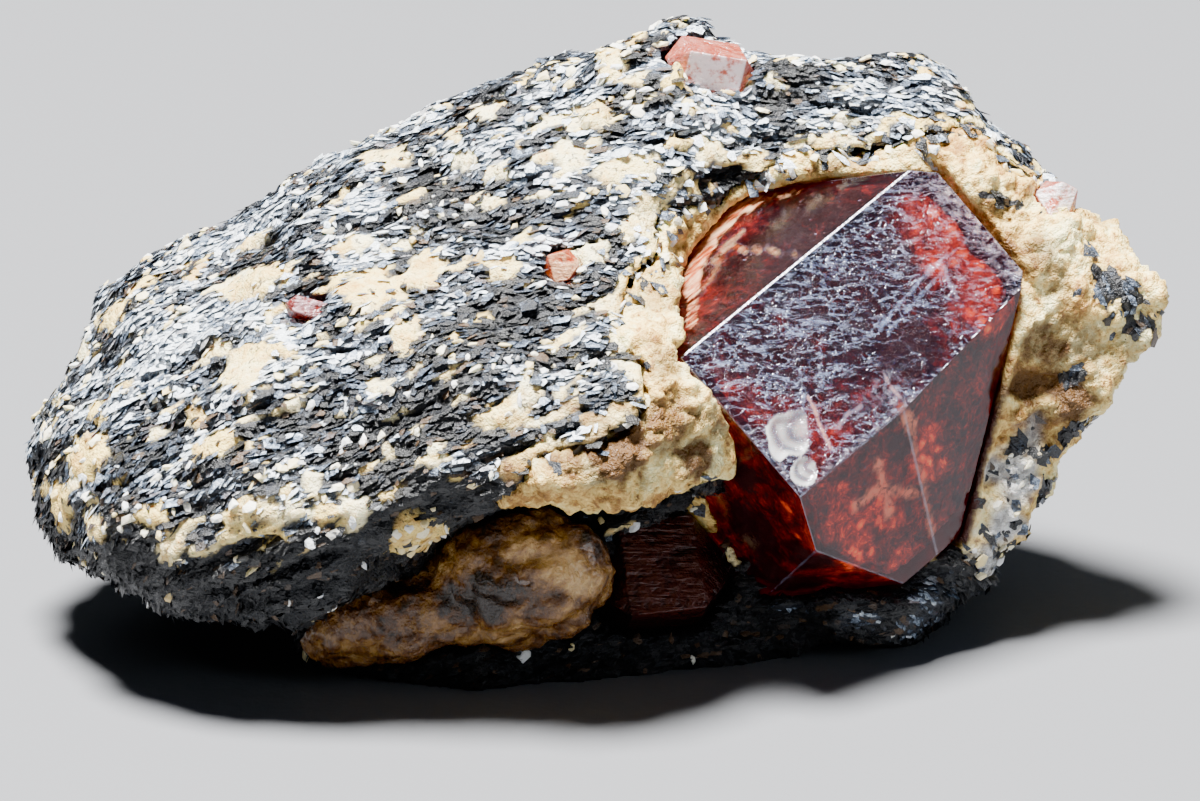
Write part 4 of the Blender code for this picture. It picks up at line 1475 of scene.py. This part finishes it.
def glowingHeartFinish():
    t = newMaterial("cloudy heart")
    cloud = t.noise(1.5, 5, 0.65, 0.6)
    flame = t.noise(0.5, 4, 0.7, 0.8)
    thread = (t.noise(1.0, 4, 0.6, 1.0) - 0.5).size().ease(0.03, 0.0)
    beads = t.cells(0.75).ease(0.5, 0.1)
    fire, veil = t.fields("fire", "veil")
    heat = cloud * 0.45 + flame * 0.6 + fire * (0.18 + beads * 0.24) - 0.25 + thread * 0.12
    colour = t.ramp(heat, heart["tones"])
    colour = t.blend(veil * flame.ease(0.3, 0.6) * 0.85, colour, heart["veil"])
    # painted glow: the heart shines by its own light
    lit = {"Emission Color": colour, "Emission Strength": heart["light"]}
    return t.finish(t.principled(colour, 0.35 + flame * 0.2, t.bump(flame, 0.15), **lit))


tell("red crystal", makeCrystal())
tell("red heart", makeHeart())


# each small crystal: its piece, its slot and its finish
smallOnes = {
    "zircon_top": ("pinkCrystal", "pink_zircon", "pink"),
    "zircon_right": ("pinkTipCrystal", "pink_zircon", "pink"),
    "zircon_mid": ("orangeCrystal", "red_zircon", "orange"),
    "zircon_sliver": ("sliverCrystal", "red_zircon", "plum"),
    "zircon_lower": ("recessCrystal", "red_zircon", "dark red"),
}
# each finish: its body, the paler colour of the face that looks forward, the share that isn't glass, and how
# deep its red is
smallTones = {
    "pink": ((0.80, 0.30, 0.22), (1.0, 0.86, 0.88), 0.45, 0.35),
    "orange": ((0.66, 0.15, 0.035), (0.80, 0.44, 0.24), 0.5, 0.8),
    "plum": ((0.30, 0.05, 0.045), (0.50, 0.30, 0.32), 0.5, 0.9),
    # the recessed crystal's finish: darkened to near black, partly its own deep red, partly painted shade
    "dark red": ((0.036, 0.006, 0.005), (0.07, 0.018, 0.012), 0.7, 1.2),
}
smallBevel = 0.05  # mm


def smallFinish(name, colour, pale, share, density):
    t = newMaterial(name)
    (front,) = t.fields("front")
    cloud = t.noise(0.9, 4, 0.65)
    fine = t.noise(0.25, 3)
    stripe = t.noise((3.0, 0.3, 0.22), 3, 0.6)
    relief = t.bump(fine * 0.5 + stripe + cloud * 2, 0.14)
    glass = glassShader(t, colour, 0.1 + fine * 0.2, relief)
    deep = (0.7 * colour[0], 0.35 * colour[1], 0.25 * colour[2])
    tint = t.blend((cloud * 0.5 + stripe * 0.6).ease(0.45, 0.68), deep, colour)
    tint = t.blend(front * (cloud + fine * 0.4).ease(0.55, 0.75), tint, pale)
    solid = frostShader(t, tint, 0.3, relief)
    return t.finish(t.mix(front * 0.25 + share, glass, solid), volumeOf(t, density))


def frontField(mesh):
    # 1 on the faces that look forward, 0 on the others
    front = np.zeros(len(mesh.vertices))
    for face in mesh.polygons:
        if face.area > 0.2 * mm**2 and face.normal.dot(viewAxes()[2]) > 0.8:
            front[list(face.vertices)] = 1
    return front


def makeSmallOnes():
    finishes = {name: smallFinish(name + " crystal", *tones) for name, tones in smallTones.items()}
    for node, (name, slot, finish) in smallOnes.items():
        ob = addObject(name, meshFrom(name, joined(node)))
        bm = bmesh.new()
        bm.from_mesh(ob.data)
        mergeFlat(bm)
        bmesh.ops.bevel(bm, geom=bm.edges[:], offset=smallBevel * mm, segments=1, affect="EDGES")
        bm.to_mesh(ob.data)
        bm.free()
        setFields(ob.data, front=frontField(ob.data))
        ob.data.materials.append(finishes[finish])
        addPiece(ob, node)
        tell(name, ob)


makeSmallOnes()
